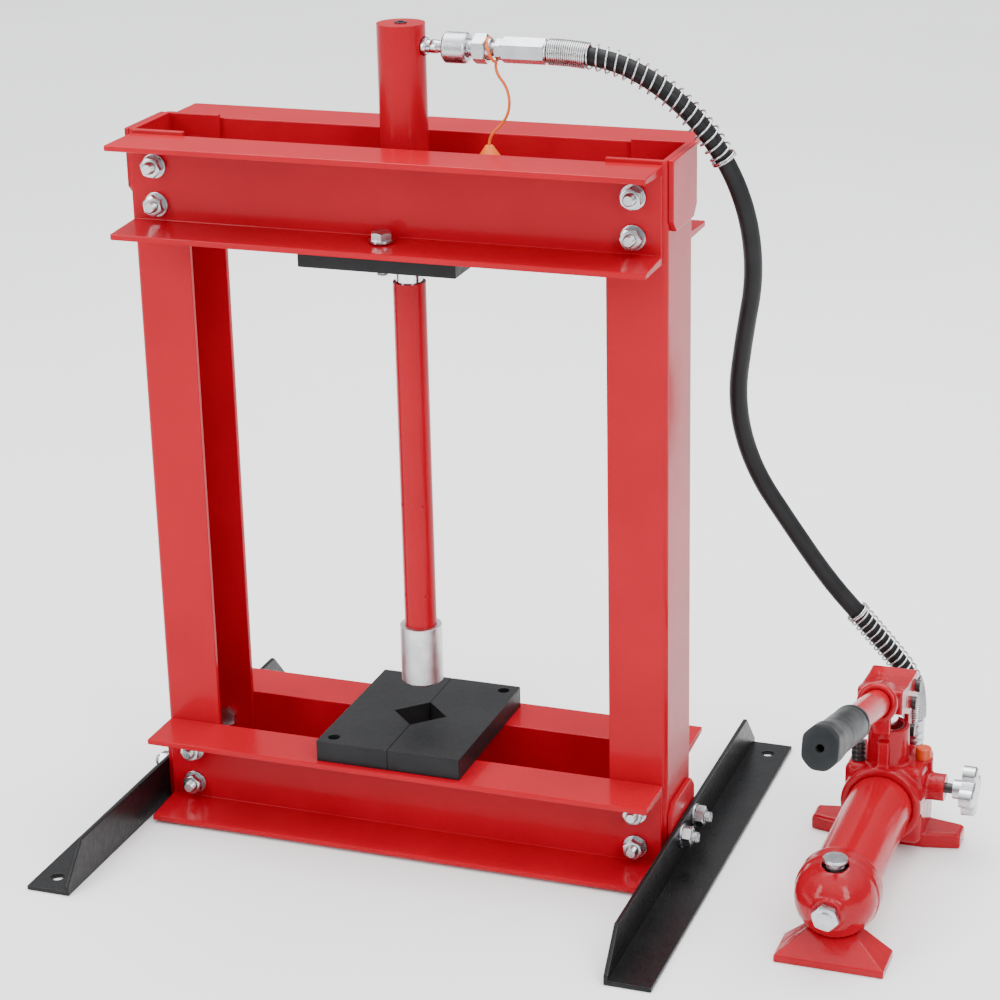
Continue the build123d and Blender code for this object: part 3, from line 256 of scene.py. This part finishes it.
# ----------------------------------------------------------- mesh helpers
def add_piece(name, mesh, material, body, replaces=()):
    obj = bpy.data.objects.new(name, mesh)
    bpy.context.scene.collection.objects.link(obj)
    mesh.materials.clear()
    mesh.materials.append(material)
    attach(obj, body)
    if replaces:
        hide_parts(*replaces)
    return obj


def mesh_from(name, bm, smooth_angle=35.0):
    mesh = bpy.data.meshes.new(name)
    bmesh.ops.recalc_face_normals(bm, faces=bm.faces)
    bm.to_mesh(mesh)
    bm.free()
    mesh.shade_smooth()
    mesh.set_sharp_from_angle(angle=math.radians(smooth_angle))
    return mesh


def axis_matrix(place, direction, spin=0.0):
    """A frame whose Z runs along direction, turned by spin about it."""
    turn = Vector(direction).normalized().to_track_quat("Z", "Y").to_matrix().to_4x4()
    return Matrix.Translation(place) @ turn @ Matrix.Rotation(spin, 4, "Z")


def polar(radius, angle, height):
    return radius * math.cos(angle), radius * math.sin(angle), height


def add_rings(bm, rings, matrix, closed=False):
    """Joins rings of equal length into one skin. closed joins the last to the first."""
    made = [[bm.verts.new(matrix @ Vector(p)) for p in ring] for ring in rings]
    count = len(made[0])
    pairs = list(zip(made, made[1:]))
    if closed:
        pairs.append((made[-1], made[0]))
    for low, high in pairs:
        for i in range(count):
            j = (i + 1) % count
            bm.faces.new((low[i], low[j], high[j], high[i]))
    return made


def add_lathe(bm, profile, matrix, segments=48):
    """profile is (radius, height) pairs; an end with a radius of 0 closes to a point."""
    rings = [[polar(radius, TAU * i / segments, height) for i in range(segments)]
             for radius, height in profile]
    made = add_rings(bm, rings, matrix)
    for ring, (radius, _) in ((made[0], profile[0]), (made[-1], profile[-1])):
        if radius < 1e-7:
            bmesh.ops.remove_doubles(bm, verts=ring, dist=1e-6)
        else:
            bm.faces.new(ring)


def hex_reach(angle, flats):
    """Distance from a hexagon's axis to its side, at an angle."""
    part = (angle + math.pi / 6) % (math.pi / 3) - math.pi / 6
    return flats / 2 / math.cos(part)


HEXAGON_SEGMENTS = 72
SEAT_SHARE = 0.97          # of the width across flats, where the turned face begins
BORE_CHAMFER = 0.0006


def add_hexagon(bm, flats, low, high, matrix, bore=0.0, cut_high=True):
    """A hexagon with its corners turned off at 30 degrees, as on a nut or bolt head."""
    slope = math.tan(math.radians(30))
    seat = flats / 2 * SEAT_SHARE

    def ring(reach, height):
        angles = [TAU * i / HEXAGON_SEGMENTS for i in range(HEXAGON_SEGMENTS)]
        return [polar(reach(angle), angle, height(angle)) for angle in angles]

    def side(angle):
        return hex_reach(angle, flats)

    def drop(angle):
        return (side(angle) - seat) * slope

    rings = []
    if bore > 0:
        rings.append(ring(lambda a: bore, lambda a: low + BORE_CHAMFER))
        rings.append(ring(lambda a: bore + BORE_CHAMFER, lambda a: low))
    rings.append(ring(lambda a: seat, lambda a: low))
    rings.append(ring(side, lambda a: low + drop(a)))
    if cut_high:
        rings.append(ring(side, lambda a: high - drop(a)))
    rings.append(ring(lambda a: seat if cut_high else side(a), lambda a: high))
    if bore > 0:
        rings.append(ring(lambda a: bore + BORE_CHAMFER, lambda a: high))
        rings.append(ring(lambda a: bore, lambda a: high - BORE_CHAMFER))
    made = add_rings(bm, rings, matrix, closed=bore > 0)
    if bore == 0:
        bm.faces.new(made[0])
        bm.faces.new(made[-1])


THREAD_PITCH = 0.0015
THREAD_DEPTH = 0.0008
THREAD_CHAMFER = 0.0012
ROWS_PER_TURN = 6


def add_thread(bm, radius, low, high, matrix, segments=28):
    """A real helical thread, with a chamfered end at high."""
    rows = max(ROWS_PER_TURN, int((high - low) / THREAD_PITCH * ROWS_PER_TURN))
    rings = []
    for k in range(rows + 1):
        z = low + (high - low) * k / rows
        ring = []
        for i in range(segments):
            turn = (z / THREAD_PITCH - i / segments) % 1.0
            r = radius - THREAD_DEPTH * abs(2 * turn - 1)
            r = min(r, radius - THREAD_CHAMFER + (high - z))
            ring.append(polar(r, TAU * i / segments, z))
        rings.append(ring)
    made = add_rings(bm, rings, matrix)
    bm.faces.new(made[0])
    bm.faces.new(made[-1])


def tube_mesh(name, points, radius, sides=10, closed=False):
    """A round wire along points, with a frame carried along it so that it doesn't twist."""
    bm = bmesh.new()
    count = len(points)
    rings = []
    normal = None
    for i in range(count):
        before = points[(i - 1) % count] if closed or i else points[0]
        after = points[(i + 1) % count] if closed or i < count - 1 else points[-1]
        along = (after - before).normalized()
        if normal is None:
            normal = along.orthogonal().normalized()
        normal = (normal - along * normal.dot(along)).normalized()
        across = along.cross(normal)
        rings.append([tuple(points[i] + radius * (normal * math.cos(TAU * k / sides)
                                                  + across * math.sin(TAU * k / sides)))
                      for k in range(sides)])
    made = add_rings(bm, rings, Matrix.Identity(4), closed)
    if not closed:
        bm.faces.new(made[0])
        bm.faces.new(made[-1])
    return mesh_from(name, bm, 60.0)


# ------------------------------------------------------------------ cords
HOSE_RADIUS = 0.0076
HOSE_ROUTE = [
    (0.126, 0, 0.698), (0.170, 0, 0.698), (0.217, 0.007, 0.675), (0.255, 0.018, 0.635),
    (0.2805, 0.031, 0.580), (0.2865, 0.044, 0.517), (0.274, 0.056, 0.457),
    (0.2645, 0.067, 0.396), (0.2765, 0.079, 0.336), (0.3075, 0.093, 0.281),
    (0.3385, 0.105, 0.230), (0.368, 0.115, 0.1925), (0.3895, 0.1225, 0.1642),
    (0.406, 0.128, 0.1415), (0.413, 0.130, 0.120), (0.413, 0.130, 0.098),
]
STRAP_RADIUS = 0.0012
STRAP_ROUTE = [
    (0.081, 0, 0.6854), (0.081, 0, 0.679), (0.0905, -0.001, 0.6685), (0.0936, -0.002, 0.6545),
    (0.0895, -0.003, 0.641), (0.076, -0.0055, 0.6285), (0.076, -0.0055, 0.621),
]


def cord_curve(name, route, radius, material, node):
    curve = bpy.data.curves.new(name, "CURVE")
    curve.dimensions = "3D"
    curve.resolution_u = 14
    spline = curve.splines.new("NURBS")
    spline.points.add(len(route) - 1)
    for point, place in zip(spline.points, route):
        point.co = (*place, 1.0)
    spline.order_u = 3
    spline.use_endpoint_u = True
    obj = bpy.data.objects.new(name, curve)
    bpy.context.scene.collection.objects.link(obj)
    line = bpy.data.meshes.new_from_object(obj)
    points = [v.co.copy() for v in line.vertices]
    bpy.data.meshes.remove(line)
    curve.bevel_depth = radius
    curve.bevel_resolution = 6
    curve.use_fill_caps = True
    curve.materials.append(material)
    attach(obj, "root")
    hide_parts(node)
    return obj, points


class Line:
    """A polyline that can be read by distance from its start, with a carried frame."""

    def __init__(self, points):
        self.points = points
        self.at = [0.0]
        for a, b in zip(points, points[1:]):
            self.at.append(self.at[-1] + (b - a).length)
        self.length = self.at[-1]
        self.frames = []
        normal = None
        for i in range(len(points)):
            along = (points[min(i + 1, len(points) - 1)] - points[max(i - 1, 0)]).normalized()
            if normal is None:
                normal = along.orthogonal().normalized()
            normal = (normal - along * normal.dot(along)).normalized()
            self.frames.append((normal, along.cross(normal)))

    def read(self, distance):
        distance = min(max(distance, 0.0), self.length)
        i = 0
        while i < len(self.at) - 2 and self.at[i + 1] < distance:
            i += 1
        share = (distance - self.at[i]) / max(self.at[i + 1] - self.at[i], 1e-9)
        place = self.points[i].lerp(self.points[i + 1], share)
        normal = self.frames[i][0].lerp(self.frames[i + 1][0], share).normalized()
        across = self.frames[i][1].lerp(self.frames[i + 1][1], share).normalized()
        return place, normal, across


WIRE_RADIUS = 0.00085
COIL_RADIUS = 0.0108 - WIRE_RADIUS
STEPS_PER_TURN = 26


def coil_points(line, stretches):
    """Helix round a line. Each stretch is (start, end, pitch), end to end."""
    points = []
    angle = 0.0
    for start, end, pitch in stretches:
        turns = (end - start) / pitch
        steps = max(8, int(turns * STEPS_PER_TURN))
        for k in range(steps):
            distance = start + (end - start) * k / steps
            place, normal, across = line.read(distance)
            turn = angle + TAU * turns * k / steps
            points.append(place + COIL_RADIUS * (normal * math.cos(turn) + across * math.sin(turn)))
        angle += TAU * turns
    return points


hose, hose_points = cord_curve("hose_rubber_line", HOSE_ROUTE, HOSE_RADIUS, hose_rubber,
                               "hose")
hose_line = Line(hose_points)
strap, _ = cord_curve("dust_cap_tether", STRAP_ROUTE, STRAP_RADIUS, orange,
                      "dust_cap_strap")

CLOSED_PITCH = 2.06 * WIRE_RADIUS
UPPER_PITCH, LOWER_PITCH = 0.0079, 0.0062
GUARD_GAP = 0.001          # from the hose's end to the guard's first turn
UPPER_CLOSED, UPPER_END, UPPER_LAST = 0.033, 0.176, 0.004
LOWER_OPEN = hose_line.length - 0.118
LOWER_CLOSED = hose_line.length - 0.036
LOWER_FIRST = 0.0035


def make_bend_guard(name, stretches, node):
    mesh = tube_mesh(name, coil_points(hose_line, stretches), WIRE_RADIUS, 8)
    return add_piece(name, mesh, spring_steel, "root", [node])


upper_coil = make_bend_guard("bend_guard_upper", [
    (GUARD_GAP, UPPER_CLOSED, CLOSED_PITCH),
    (UPPER_CLOSED, UPPER_END - UPPER_LAST, UPPER_PITCH),
    (UPPER_END - UPPER_LAST, UPPER_END, CLOSED_PITCH)], "hose_spring_upper")
lower_coil = make_bend_guard("bend_guard_lower", [
    (LOWER_OPEN, LOWER_OPEN + LOWER_FIRST, CLOSED_PITCH),
    (LOWER_OPEN + LOWER_FIRST, LOWER_CLOSED, LOWER_PITCH),
    (LOWER_CLOSED, hose_line.length - GUARD_GAP, CLOSED_PITCH)], "hose_spring_lower")


# ---------------------------------------------------------------- dressing
HARD_EDGE = math.radians(35.0)
FLAT_ENOUGH = math.radians(1.0)


def dress(name, material, bevel=0.0, segments=2):
    """Gives a CAD node its material and, where it has hard edges, a small rounding."""
    node = nodes[name]
    node.data.materials.clear()
    node.data.materials.append(material)
    if bevel > 0:
        weld = node.modifiers.new("weld", "WELD")
        weld.merge_threshold = 1e-6
        flat = node.modifiers.new("flat", "DECIMATE")
        flat.decimate_type = "DISSOLVE"
        flat.angle_limit = FLAT_ENOUGH
        edge = node.modifiers.new("edge", "BEVEL")
        edge.width = bevel
        edge.segments = segments
        edge.limit_method = "ANGLE"
        edge.angle_limit = HARD_EDGE
        edge.use_clamp_overlap = False
        edge.harden_normals = False
        shade = node.modifiers.new("shade", "WEIGHTED_NORMAL")
        shade.keep_sharp = True
    return node


CAST_CELL = 0.0009
CAST_ROUNDS = 7


def cast(name, material):
    """A casting: its CAD shape with every edge softened, as sand casting leaves it."""
    node = dress(name, material)
    grid = node.modifiers.new("grid", "REMESH")
    grid.mode = "VOXEL"
    grid.voxel_size = CAST_CELL
    grid.use_smooth_shade = True
    soft = node.modifiers.new("soft", "SMOOTH")
    soft.factor = 0.5
    soft.iterations = CAST_ROUNDS


for beam in ("upper_beam_front", "upper_beam_rear", "lower_beam_front", "lower_beam_rear"):
    dress(beam, red, 0.0009)
for piece in ("upright_left", "upright_right", "upper_end_plates", "lower_end_plates"):
    dress(piece, red, 0.0007)
for piece in ("cylinder_body", "extension_tube_long", "extension_tube_short", "handle_tube"):
    dress(piece, red)
for piece in ("pump_front_cap", "pump_head", "handle_socket"):
    cast(piece, red_cast)
for piece in ("link_arms", "pump_front_foot"):
    dress(piece, red_cast, 0.0010, 3)
dress("reservoir_tube", red)
for piece in ("foot_left", "foot_right"):
    dress(piece, black_paint, 0.0008)
for piece in ("ram_plate", "press_plate_left", "press_plate_right"):
    dress(piece, plate_black, 0.0008)
for piece in ("handle_pins", "link_base_pin", "release_stem", "spring_anchor_screw"):
    dress(piece, black_fitting)
dress("washers", zinc_bright, 0.0003)
dress("ram_foot", zinc_rough, 0.0005)
for piece in ("piston_rod", "plunger"):
    dress(piece, chrome)
for piece in ("piston", "tube_connector", "return_spring", "plunger_gland"):
    dress(piece, zinc_turned)
dress("release_knob", alloy)
dress("ribbed_breather", black_fitting)
dress("dust_cap", orange, 0.0006, 3)
dress("relief_cap", orange_red)
dress("piston_seal", hose_rubber)


# ---------------------------------------------------------- detail pieces
def add_metal(name, bm, material, node, body="root"):
    """One zinc plated piece that takes the place of a CAD node."""
    return add_piece(name, mesh_from(name, bm), material, body, [node])


UPPER_Z, LOWER_Z = 0.541, 0.003
BOLT_LEVELS = (0.0215, 0.0545)
NUT_FLATS, NUT_HEIGHT, HEAD_HEIGHT, BOLT_RADIUS = 0.016, 0.008, 0.0064, 0.005
SEAT_Y, FRAME_GRIP, FOOT_GRIP, OVERHANG = 0.032, 0.012, 0.0155, 0.0055
FRAME_BOLT_X = 0.209
FOOT_BOLT_X, FOOT_BOLT_Y, FOOT_BOLT_Z = 0.230, 0.020, 0.029
RAM_BOLT_Y, RAM_BOLT_Z, RAM_BOLT_GRIP, RAM_BOLT_SHOWN = 0.057, 0.5505, 0.018, 0.012
RAM_BOLT_SPIN = 0.35
SHANK_SEGMENTS = 32
SHANK_LAP = 0.0005         # the shank and its thread reach into each other by this much


def frame_bolt_spots():
    spots = []
    for x in (-FRAME_BOLT_X, FRAME_BOLT_X):
        for base in (LOWER_Z, UPPER_Z):
            for level in BOLT_LEVELS:
                for side in (-1, 1):
                    spots.append(((x, side * SEAT_Y, base + level), (0, side, 0), FRAME_GRIP))
    return spots


def foot_bolt_spots():
    return [((side * FOOT_BOLT_X, y, FOOT_BOLT_Z), (side, 0, 0), FOOT_GRIP)
            for side in (-1, 1) for y in (-FOOT_BOLT_Y, FOOT_BOLT_Y)]


def add_bolt(bm, spot, direction, grip, shown, turn):
    """Head, plain shank and a threaded end, along the bolt's direction."""
    matrix = axis_matrix(spot, direction, turn)
    add_hexagon(bm, NUT_FLATS, -HEAD_HEIGHT, 0.0, matrix, cut_high=False)
    shank = BOLT_RADIUS - 0.0001
    add_lathe(bm, [(shank, -SHANK_LAP), (shank, grip)], matrix, SHANK_SEGMENTS)
    add_thread(bm, BOLT_RADIUS, grip - SHANK_LAP, grip + shown, matrix)


def make_fasteners():
    for name, spots in (("frame_bolts", frame_bolt_spots()), ("foot_bolts", foot_bolt_spots())):
        bm = bmesh.new()
        for place, direction, grip in spots:
            add_bolt(bm, place, direction, grip, NUT_HEIGHT + OVERHANG, rng.uniform(0, 1))
        add_metal(name + "_threaded", bm, zinc_dull, name)
    bm = bmesh.new()
    for place, direction, grip in frame_bolt_spots() + foot_bolt_spots():
        matrix = axis_matrix(Vector(place) + Vector(direction) * grip, direction,
                             rng.uniform(0, 1))
        add_hexagon(bm, NUT_FLATS, 0.0, NUT_HEIGHT, matrix, bore=BOLT_RADIUS - 0.0002)
    add_metal("nuts_chamfered", bm, zinc_bright, "nuts")
    bm = bmesh.new()
    for side in (-1, 1):
        add_bolt(bm, Vector((0, side * RAM_BOLT_Y, RAM_BOLT_Z)), (0, 0, -1), RAM_BOLT_GRIP,
                 RAM_BOLT_SHOWN, RAM_BOLT_SPIN * side)
    add_metal("ram_plate_bolts_threaded", bm, zinc_dull, "ram_plate_bolts")


PORT_Z = 0.698


def port_axis():
    """Height along this axis is distance along +X from the ram's own axis."""
    return axis_matrix((0.0, 0, PORT_Z), (1, 0, 0))


# Where each hexagon along the port starts and ends, and its width across flats.
COUPLER_HEXAGON = (0.0640, 0.0750, 0.0215)
HOSE_NUT = (0.0820, 0.0880, 0.015)
UPPER_FERRULE = (0.0880, 0.1246, 0.0185)


def make_coupler():
    axis = port_axis()
    bm = bmesh.new()
    add_lathe(bm, [(0.0054, 0.0153), (0.0054, 0.0187), (0.0072, 0.0188), (0.0074, 0.0192),
                   (0.0074, 0.0225), (0.0070, 0.0230), (0.0054, 0.0231), (0.0052, 0.0260),
                   (0.0056, 0.0266), (0.0056, 0.0318), (0.0050, 0.0326), (0.0050, 0.0344),
                   (0.0056, 0.0350), (0.0056, 0.0450), (0.0050, 0.0458)], axis)
    add_metal("port_nipple_turned", bm, zinc_turned, "port_nipple")
    bm = bmesh.new()
    low, high, flats = COUPLER_HEXAGON
    add_lathe(bm, [(0.0068, 0.0466), (0.0074, 0.0474), (0.0074, 0.0590), (0.0066, 0.0598),
                   (0.0066, 0.0614), (0.0076, 0.0622), (0.0076, 0.0642)], axis)
    add_hexagon(bm, flats, low, high, axis)
    add_lathe(bm, [(0.0088, 0.0748), (0.0092, 0.0752), (0.0092, 0.0768), (0.0084, 0.0780),
                   (0.0062, 0.0784), (0.0055, 0.0790), (0.0055, 0.0820)], axis)
    add_metal("coupler_body_turned", bm, zinc_bright, "coupler_body")
    bm = bmesh.new()
    low, high, flats = HOSE_NUT
    add_hexagon(bm, flats, low, high, axis)
    add_metal("hose_end_nut_chamfered", bm, zinc_bright, "hose_end_nut")
    bm = bmesh.new()
    low, high, flats = UPPER_FERRULE
    add_hexagon(bm, flats, low, high, axis)
    add_lathe(bm, [(0.0090, 0.1243), (0.0092, 0.1248), (0.0092, 0.1256), (0.0086, 0.1260)], axis)
    add_metal("hose_ferrule_upper_pressed", bm, zinc_bright, "hose_ferrule_upper")


def make_knurled_collar():
    """A turned sleeve with a fine crossed knurl between its plain chamfers."""
    low, high, radius, chamfer = 0.038, 0.058, 0.0127, 0.0016
    face, edge, relief = 0.0111, radius - 0.0002, 0.0005
    segments, around, rows = 320, 64, 46
    knurl_pitch, knurl_depth = 0.0012, 0.00022
    profile = [(0.0063, low, False), (face, low, False), (edge, low + chamfer, False)]
    for k in range(rows + 1):
        profile.append((radius, low + chamfer + relief
                        + (high - low - 2 * chamfer - 2 * relief) * k / rows, True))
    profile += [(edge, high - chamfer, False), (face, high, False), (0.0078, high, False)]
    rings = []
    for r, z, knurled in profile:
        ring = []
        for i in range(segments):
            here = r
            if knurled:
                one = abs(((i / segments * around + z / knurl_pitch) % 1.0) * 2 - 1)
                two = abs(((i / segments * around - z / knurl_pitch) % 1.0) * 2 - 1)
                here = r - knurl_depth * max(one, two)
            ring.append(polar(here, TAU * i / segments, z))
        rings.append(ring)
    bm = bmesh.new()
    add_rings(bm, rings, port_axis(), closed=True)
    add_metal("coupler_collar_knurled", bm, zinc_bright, "coupler_collar", "collar")


LOOP_X, LOOP_DROP = 0.0784, 0.0004     # the loop's centre, along the port and below its axis
LOOP_RADIUS, LOOP_WIRE, LOOP_LEAN = 0.0094, 0.0012, 0.0030
LOOP_STEPS, WEB_SIDES = 64, 12
WEB_X, WEB_SLANT, WEB_LENGTH = 0.0812, 0.0002, 0.0030
# Each is (share of the way down, half width, half thickness).
WEB_STATIONS = ((0.0, 0.0034, 0.0011), (0.35, 0.0026, 0.0012),
                (0.7, 0.0018, 0.0012), (1.0, 0.0012, 0.0012))


def make_tether_loop():
    """The orange loop hangs tilted on the neck and runs into the tether."""
    centre = Vector((LOOP_X, 0.0, PORT_Z - LOOP_DROP))
    points = []
    for k in range(LOOP_STEPS):
        angle = TAU * k / LOOP_STEPS
        down = math.cos(angle)
        points.append(centre + Vector((LOOP_LEAN * down, LOOP_RADIUS * math.sin(angle),
                                       -LOOP_RADIUS * down)))
    loop = tube_mesh("dust_cap_loop", points, LOOP_WIRE, 10, closed=True)
    bm = bmesh.new()
    bm.from_mesh(loop)
    bpy.data.meshes.remove(loop)
    web = []
    for share, across, thick in WEB_STATIONS:
        x = WEB_X + WEB_SLANT * share
        z = PORT_Z - LOOP_RADIUS - WEB_LENGTH * share
        web.append([(x + thick * math.cos(TAU * i / WEB_SIDES),
                     across * math.sin(TAU * i / WEB_SIDES), z) for i in range(WEB_SIDES)])
    made = add_rings(bm, web, Matrix.Identity(4))
    bm.faces.new(made[0])
    bm.faces.new(made[-1])
    add_piece("dust_cap_loop", mesh_from("dust_cap_loop", bm, 60.0), orange, "root",
              ["dust_cap_ring"])


PUMP_X, PUMP_Z, PLUG_Y = 0.402, 0.050, -0.156
PLUG_FLATS, PLUG_SPIN = 0.020, 0.30
VENT_Y, VENT_Z = -0.127, 0.0751
SEAL_RADIUS, SEAL_HEIGHT, SEAL_WIRE, SEAL_STEPS = 0.0088, 0.0012, 0.0013, 48
PORT_BOSS = (0.413, 0.130, 0.064)
PORT_FLATS, PORT_NUT_HEIGHT, PORT_SPIN = 0.017, 0.0098, 0.2


def make_pump_detail():
    bm = bmesh.new()
    forward = axis_matrix((PUMP_X, PLUG_Y, PUMP_Z), (0, -1, 0), PLUG_SPIN)
    add_hexagon(bm, PLUG_FLATS, 0.0, 0.0062, forward)
    add_lathe(bm, [(0.0066, 0.0060), (0.0066, 0.0066), (0.0060, 0.0070), (0.0, 0.0070)], forward)
    add_lathe(bm, [(0.0049, -0.0095), (0.0049, 0.0005)], forward)
    add_metal("filler_plug_chamfered", bm, zinc_bright, "filler_plug")
    bm = bmesh.new()
    upright = axis_matrix((PUMP_X, VENT_Y, VENT_Z), (0, 0, 1))
    add_lathe(bm, [(0.0039, -0.0078), (0.0039, 0.0002), (0.0072, 0.0003), (0.0074, 0.0008),
                   (0.0074, 0.0050), (0.0066, 0.0056), (0.0066, 0.0084), (0.0098, 0.0089),
                   (0.0102, 0.0095), (0.0102, 0.0117), (0.0096, 0.0124), (0.0, 0.0125)], upright)
    add_metal("vent_knob_turned", bm, zinc_bright, "vent_knob", "vent")
    seal = [upright @ Vector(polar(SEAL_RADIUS, TAU * k / SEAL_STEPS, SEAL_HEIGHT))
            for k in range(SEAL_STEPS)]
    add_piece("vent_seal_ring", tube_mesh("vent_seal_ring", seal, SEAL_WIRE, 10, closed=True),
              hose_rubber, "root")
    bm = bmesh.new()
    fitting = axis_matrix(PORT_BOSS, (0, 0, 1), PORT_SPIN)
    add_lathe(bm, [(0.0054, -0.0098), (0.0054, 0.0004)], fitting)
    add_hexagon(bm, PORT_FLATS, 0.0, PORT_NUT_HEIGHT, fitting)
    add_lathe(bm, [(0.0080, 0.0096), (0.0090, 0.0104), (0.0092, 0.0110), (0.0092, 0.0150),
                   (0.0088, 0.0156), (0.0088, 0.0172), (0.0092, 0.0178), (0.0092, 0.0215),
                   (0.0088, 0.0221), (0.0088, 0.0237), (0.0092, 0.0243), (0.0092, 0.0330),
                   (0.0086, 0.0340)], fitting)
    add_metal("hose_ferrule_lower_pressed", bm, zinc_bright, "hose_ferrule_lower")


GRIP_LEAN = math.radians(14.6)
GRIP_BASE = (0.402, 0.089, 0.147 - 0.0066)
GRIP_REAR, GRIP_FRONT, GRIP_HOLE = 0.175, 0.291, 0.0032
GRIP_TUBE, GRIP_RADIUS = 0.0121, 0.0154
GRIP_HALF_X, GRIP_HALF_Z, GRIP_CUT = 0.0147, 0.0178, 0.0086
GRIP_SEGMENTS, GRIP_STEPS, CORNER_POWER = 96, 24, 16


def eight_sided(angle):
    """Reach of a tall eight-sided outline with its corners a little rounded."""
    c, s = abs(math.cos(angle)) + 1e-6, abs(math.sin(angle)) + 1e-6
    sides = (GRIP_HALF_X / c, GRIP_HALF_Z / s, (GRIP_HALF_X + GRIP_HALF_Z - GRIP_CUT) / (c + s))
    return sum(side ** -CORNER_POWER for side in sides) ** (-1 / CORNER_POWER)


def grip_stations():
    """Each is (distance along the handle, radius, share of the eight-sided outline)."""
    rear, front = GRIP_REAR, GRIP_FRONT
    stations = [(rear + 0.014, GRIP_TUBE, 0.0), (rear, GRIP_TUBE, 0.0), (rear, 0.0146, 0.0),
                (rear + 0.0014, 0.0156, 0.0), (rear + 0.006, 0.0156, 0.0),
                (rear + 0.0072, 0.0148, 0.0), (rear + 0.0088, 0.0148, 0.0),
                (rear + 0.0100, 0.0155, 0.0)]
    for k in range(GRIP_STEPS + 1):
        share = k / GRIP_STEPS
        blend = max(0.0, (share - 0.55) / 0.3)
        blend = min(1.0, blend)
        blend = blend * blend * (3 - 2 * blend)
        stations.append((rear + 0.012 + (front - 0.0145 - rear) * share, GRIP_RADIUS, blend))
    return stations + [(front - 0.0010, 0.0150, 0.985), (front, 0.0135, 0.95)]


def make_grip():
    """Round at the rear, swelling to a tall eight-sided end, with a moulded rim."""
    forward = Vector((0, -math.cos(GRIP_LEAN), math.sin(GRIP_LEAN)))
    matrix = Matrix((Vector((1, 0, 0)), Vector((0, math.sin(GRIP_LEAN), math.cos(GRIP_LEAN))),
                     forward))
    matrix = Matrix.Translation(GRIP_BASE) @ matrix.transposed().to_4x4()
    angles = [TAU * i / GRIP_SEGMENTS for i in range(GRIP_SEGMENTS)]
    rings = []
    for distance, radius, blend in grip_stations():
        shrink = radius / GRIP_RADIUS
        rings.append([polar(radius * (1 - blend) + eight_sided(angle) * shrink * blend,
                            angle, distance) for angle in angles])
    for radius, back in ((0.0070, 0.0004), (GRIP_HOLE + 0.0004, 0.0004),
                         (GRIP_HOLE, 0.0010), (GRIP_HOLE, 0.0195)):
        rings.append([polar(radius, angle, GRIP_FRONT - back) for angle in angles])
    bm = bmesh.new()
    made = add_rings(bm, rings, matrix)
    bm.faces.new(made[-1])
    add_piece("handle_grip_moulded", mesh_from("handle_grip_moulded", bm, 40.0), grip_rubber,
              "handle", ["handle_grip"])


make_fasteners()
make_grip()
make_coupler()
make_knurled_collar()
make_tether_loop()
make_pump_detail()


# ----------------------------------------------------------------- studio
FLOOR_HALF, FLOOR_Z = 9.0, -0.0002
WORLD_LEVELS = ((0.0, 0.07), (0.35, 0.18), (0.90, 1.0))
WORLD_STRENGTH = 3.0


def make_floor():
    m = Nodes("pale_floor")
    m.set(Roughness=0.75)
    m.to("Base Color", m.ramp(m.noise(1.5, 3.0), (0.3, 0.86), (0.7, 0.90)))
    mesh = bpy.data.meshes.new("floor")
    half = FLOOR_HALF
    mesh.from_pydata([(-half, -half, 0), (half, -half, 0), (half, half, 0), (-half, half, 0)],
                     [], [(0, 1, 2, 3)])
    mesh.materials.append(m.material)
    floor = bpy.data.objects.new("floor", mesh)
    floor.location.z = FLOOR_Z
    bpy.context.scene.collection.objects.link(floor)


def area_light(name, place, target, size, power):
    data = bpy.data.lights.new(name, "AREA")
    data.shape = "RECTANGLE"
    data.size, data.size_y = size
    data.energy = power
    light = bpy.data.objects.new(name, data)
    light.location = place
    light.rotation_mode = "QUATERNION"
    light.rotation_quaternion = (Vector(target) - Vector(place)).to_track_quat("-Z", "Y")
    bpy.context.scene.collection.objects.link(light)


def make_world():
    """A soft room: pale overhead, darker round the horizon, so that glossy sides keep depth."""
    world = bpy.data.worlds.new("studio")
    world.use_nodes = True
    tree = world.node_tree
    place = tree.nodes.new("ShaderNodeTexCoord")
    split = tree.nodes.new("ShaderNodeSeparateXYZ")
    sky = tree.nodes.new("ShaderNodeValToRGB")
    tree.links.new(place.outputs["Generated"], split.inputs["Vector"])
    tree.links.new(split.outputs["Z"], sky.inputs["Fac"])
    sky.color_ramp.elements.new(0.5)
    for element, (position, level) in zip(sky.color_ramp.elements, WORLD_LEVELS):
        element.position = position
        element.color = (level * 0.97, level * 0.985, level, 1.0)
    background = tree.nodes["Background"]
    tree.links.new(sky.outputs["Color"], background.inputs["Color"])
    background.inputs["Strength"].default_value = WORLD_STRENGTH
    return world


def make_studio():
    make_floor()
    bpy.context.scene.world = make_world()
    area_light("overhead", (0.1, 0.5, 2.7), (0.1, 0.0, 0.3), (2.6, 2.0), 80.0)
    area_light("front_right", (2.1, -1.9, 1.6), (0.1, 0.0, 0.35), (0.7, 1.7), 44.0)
    area_light("front_left", (-1.6, -2.1, 1.4), (0.1, 0.0, 0.35), (0.7, 1.8), 36.0)


make_studio()
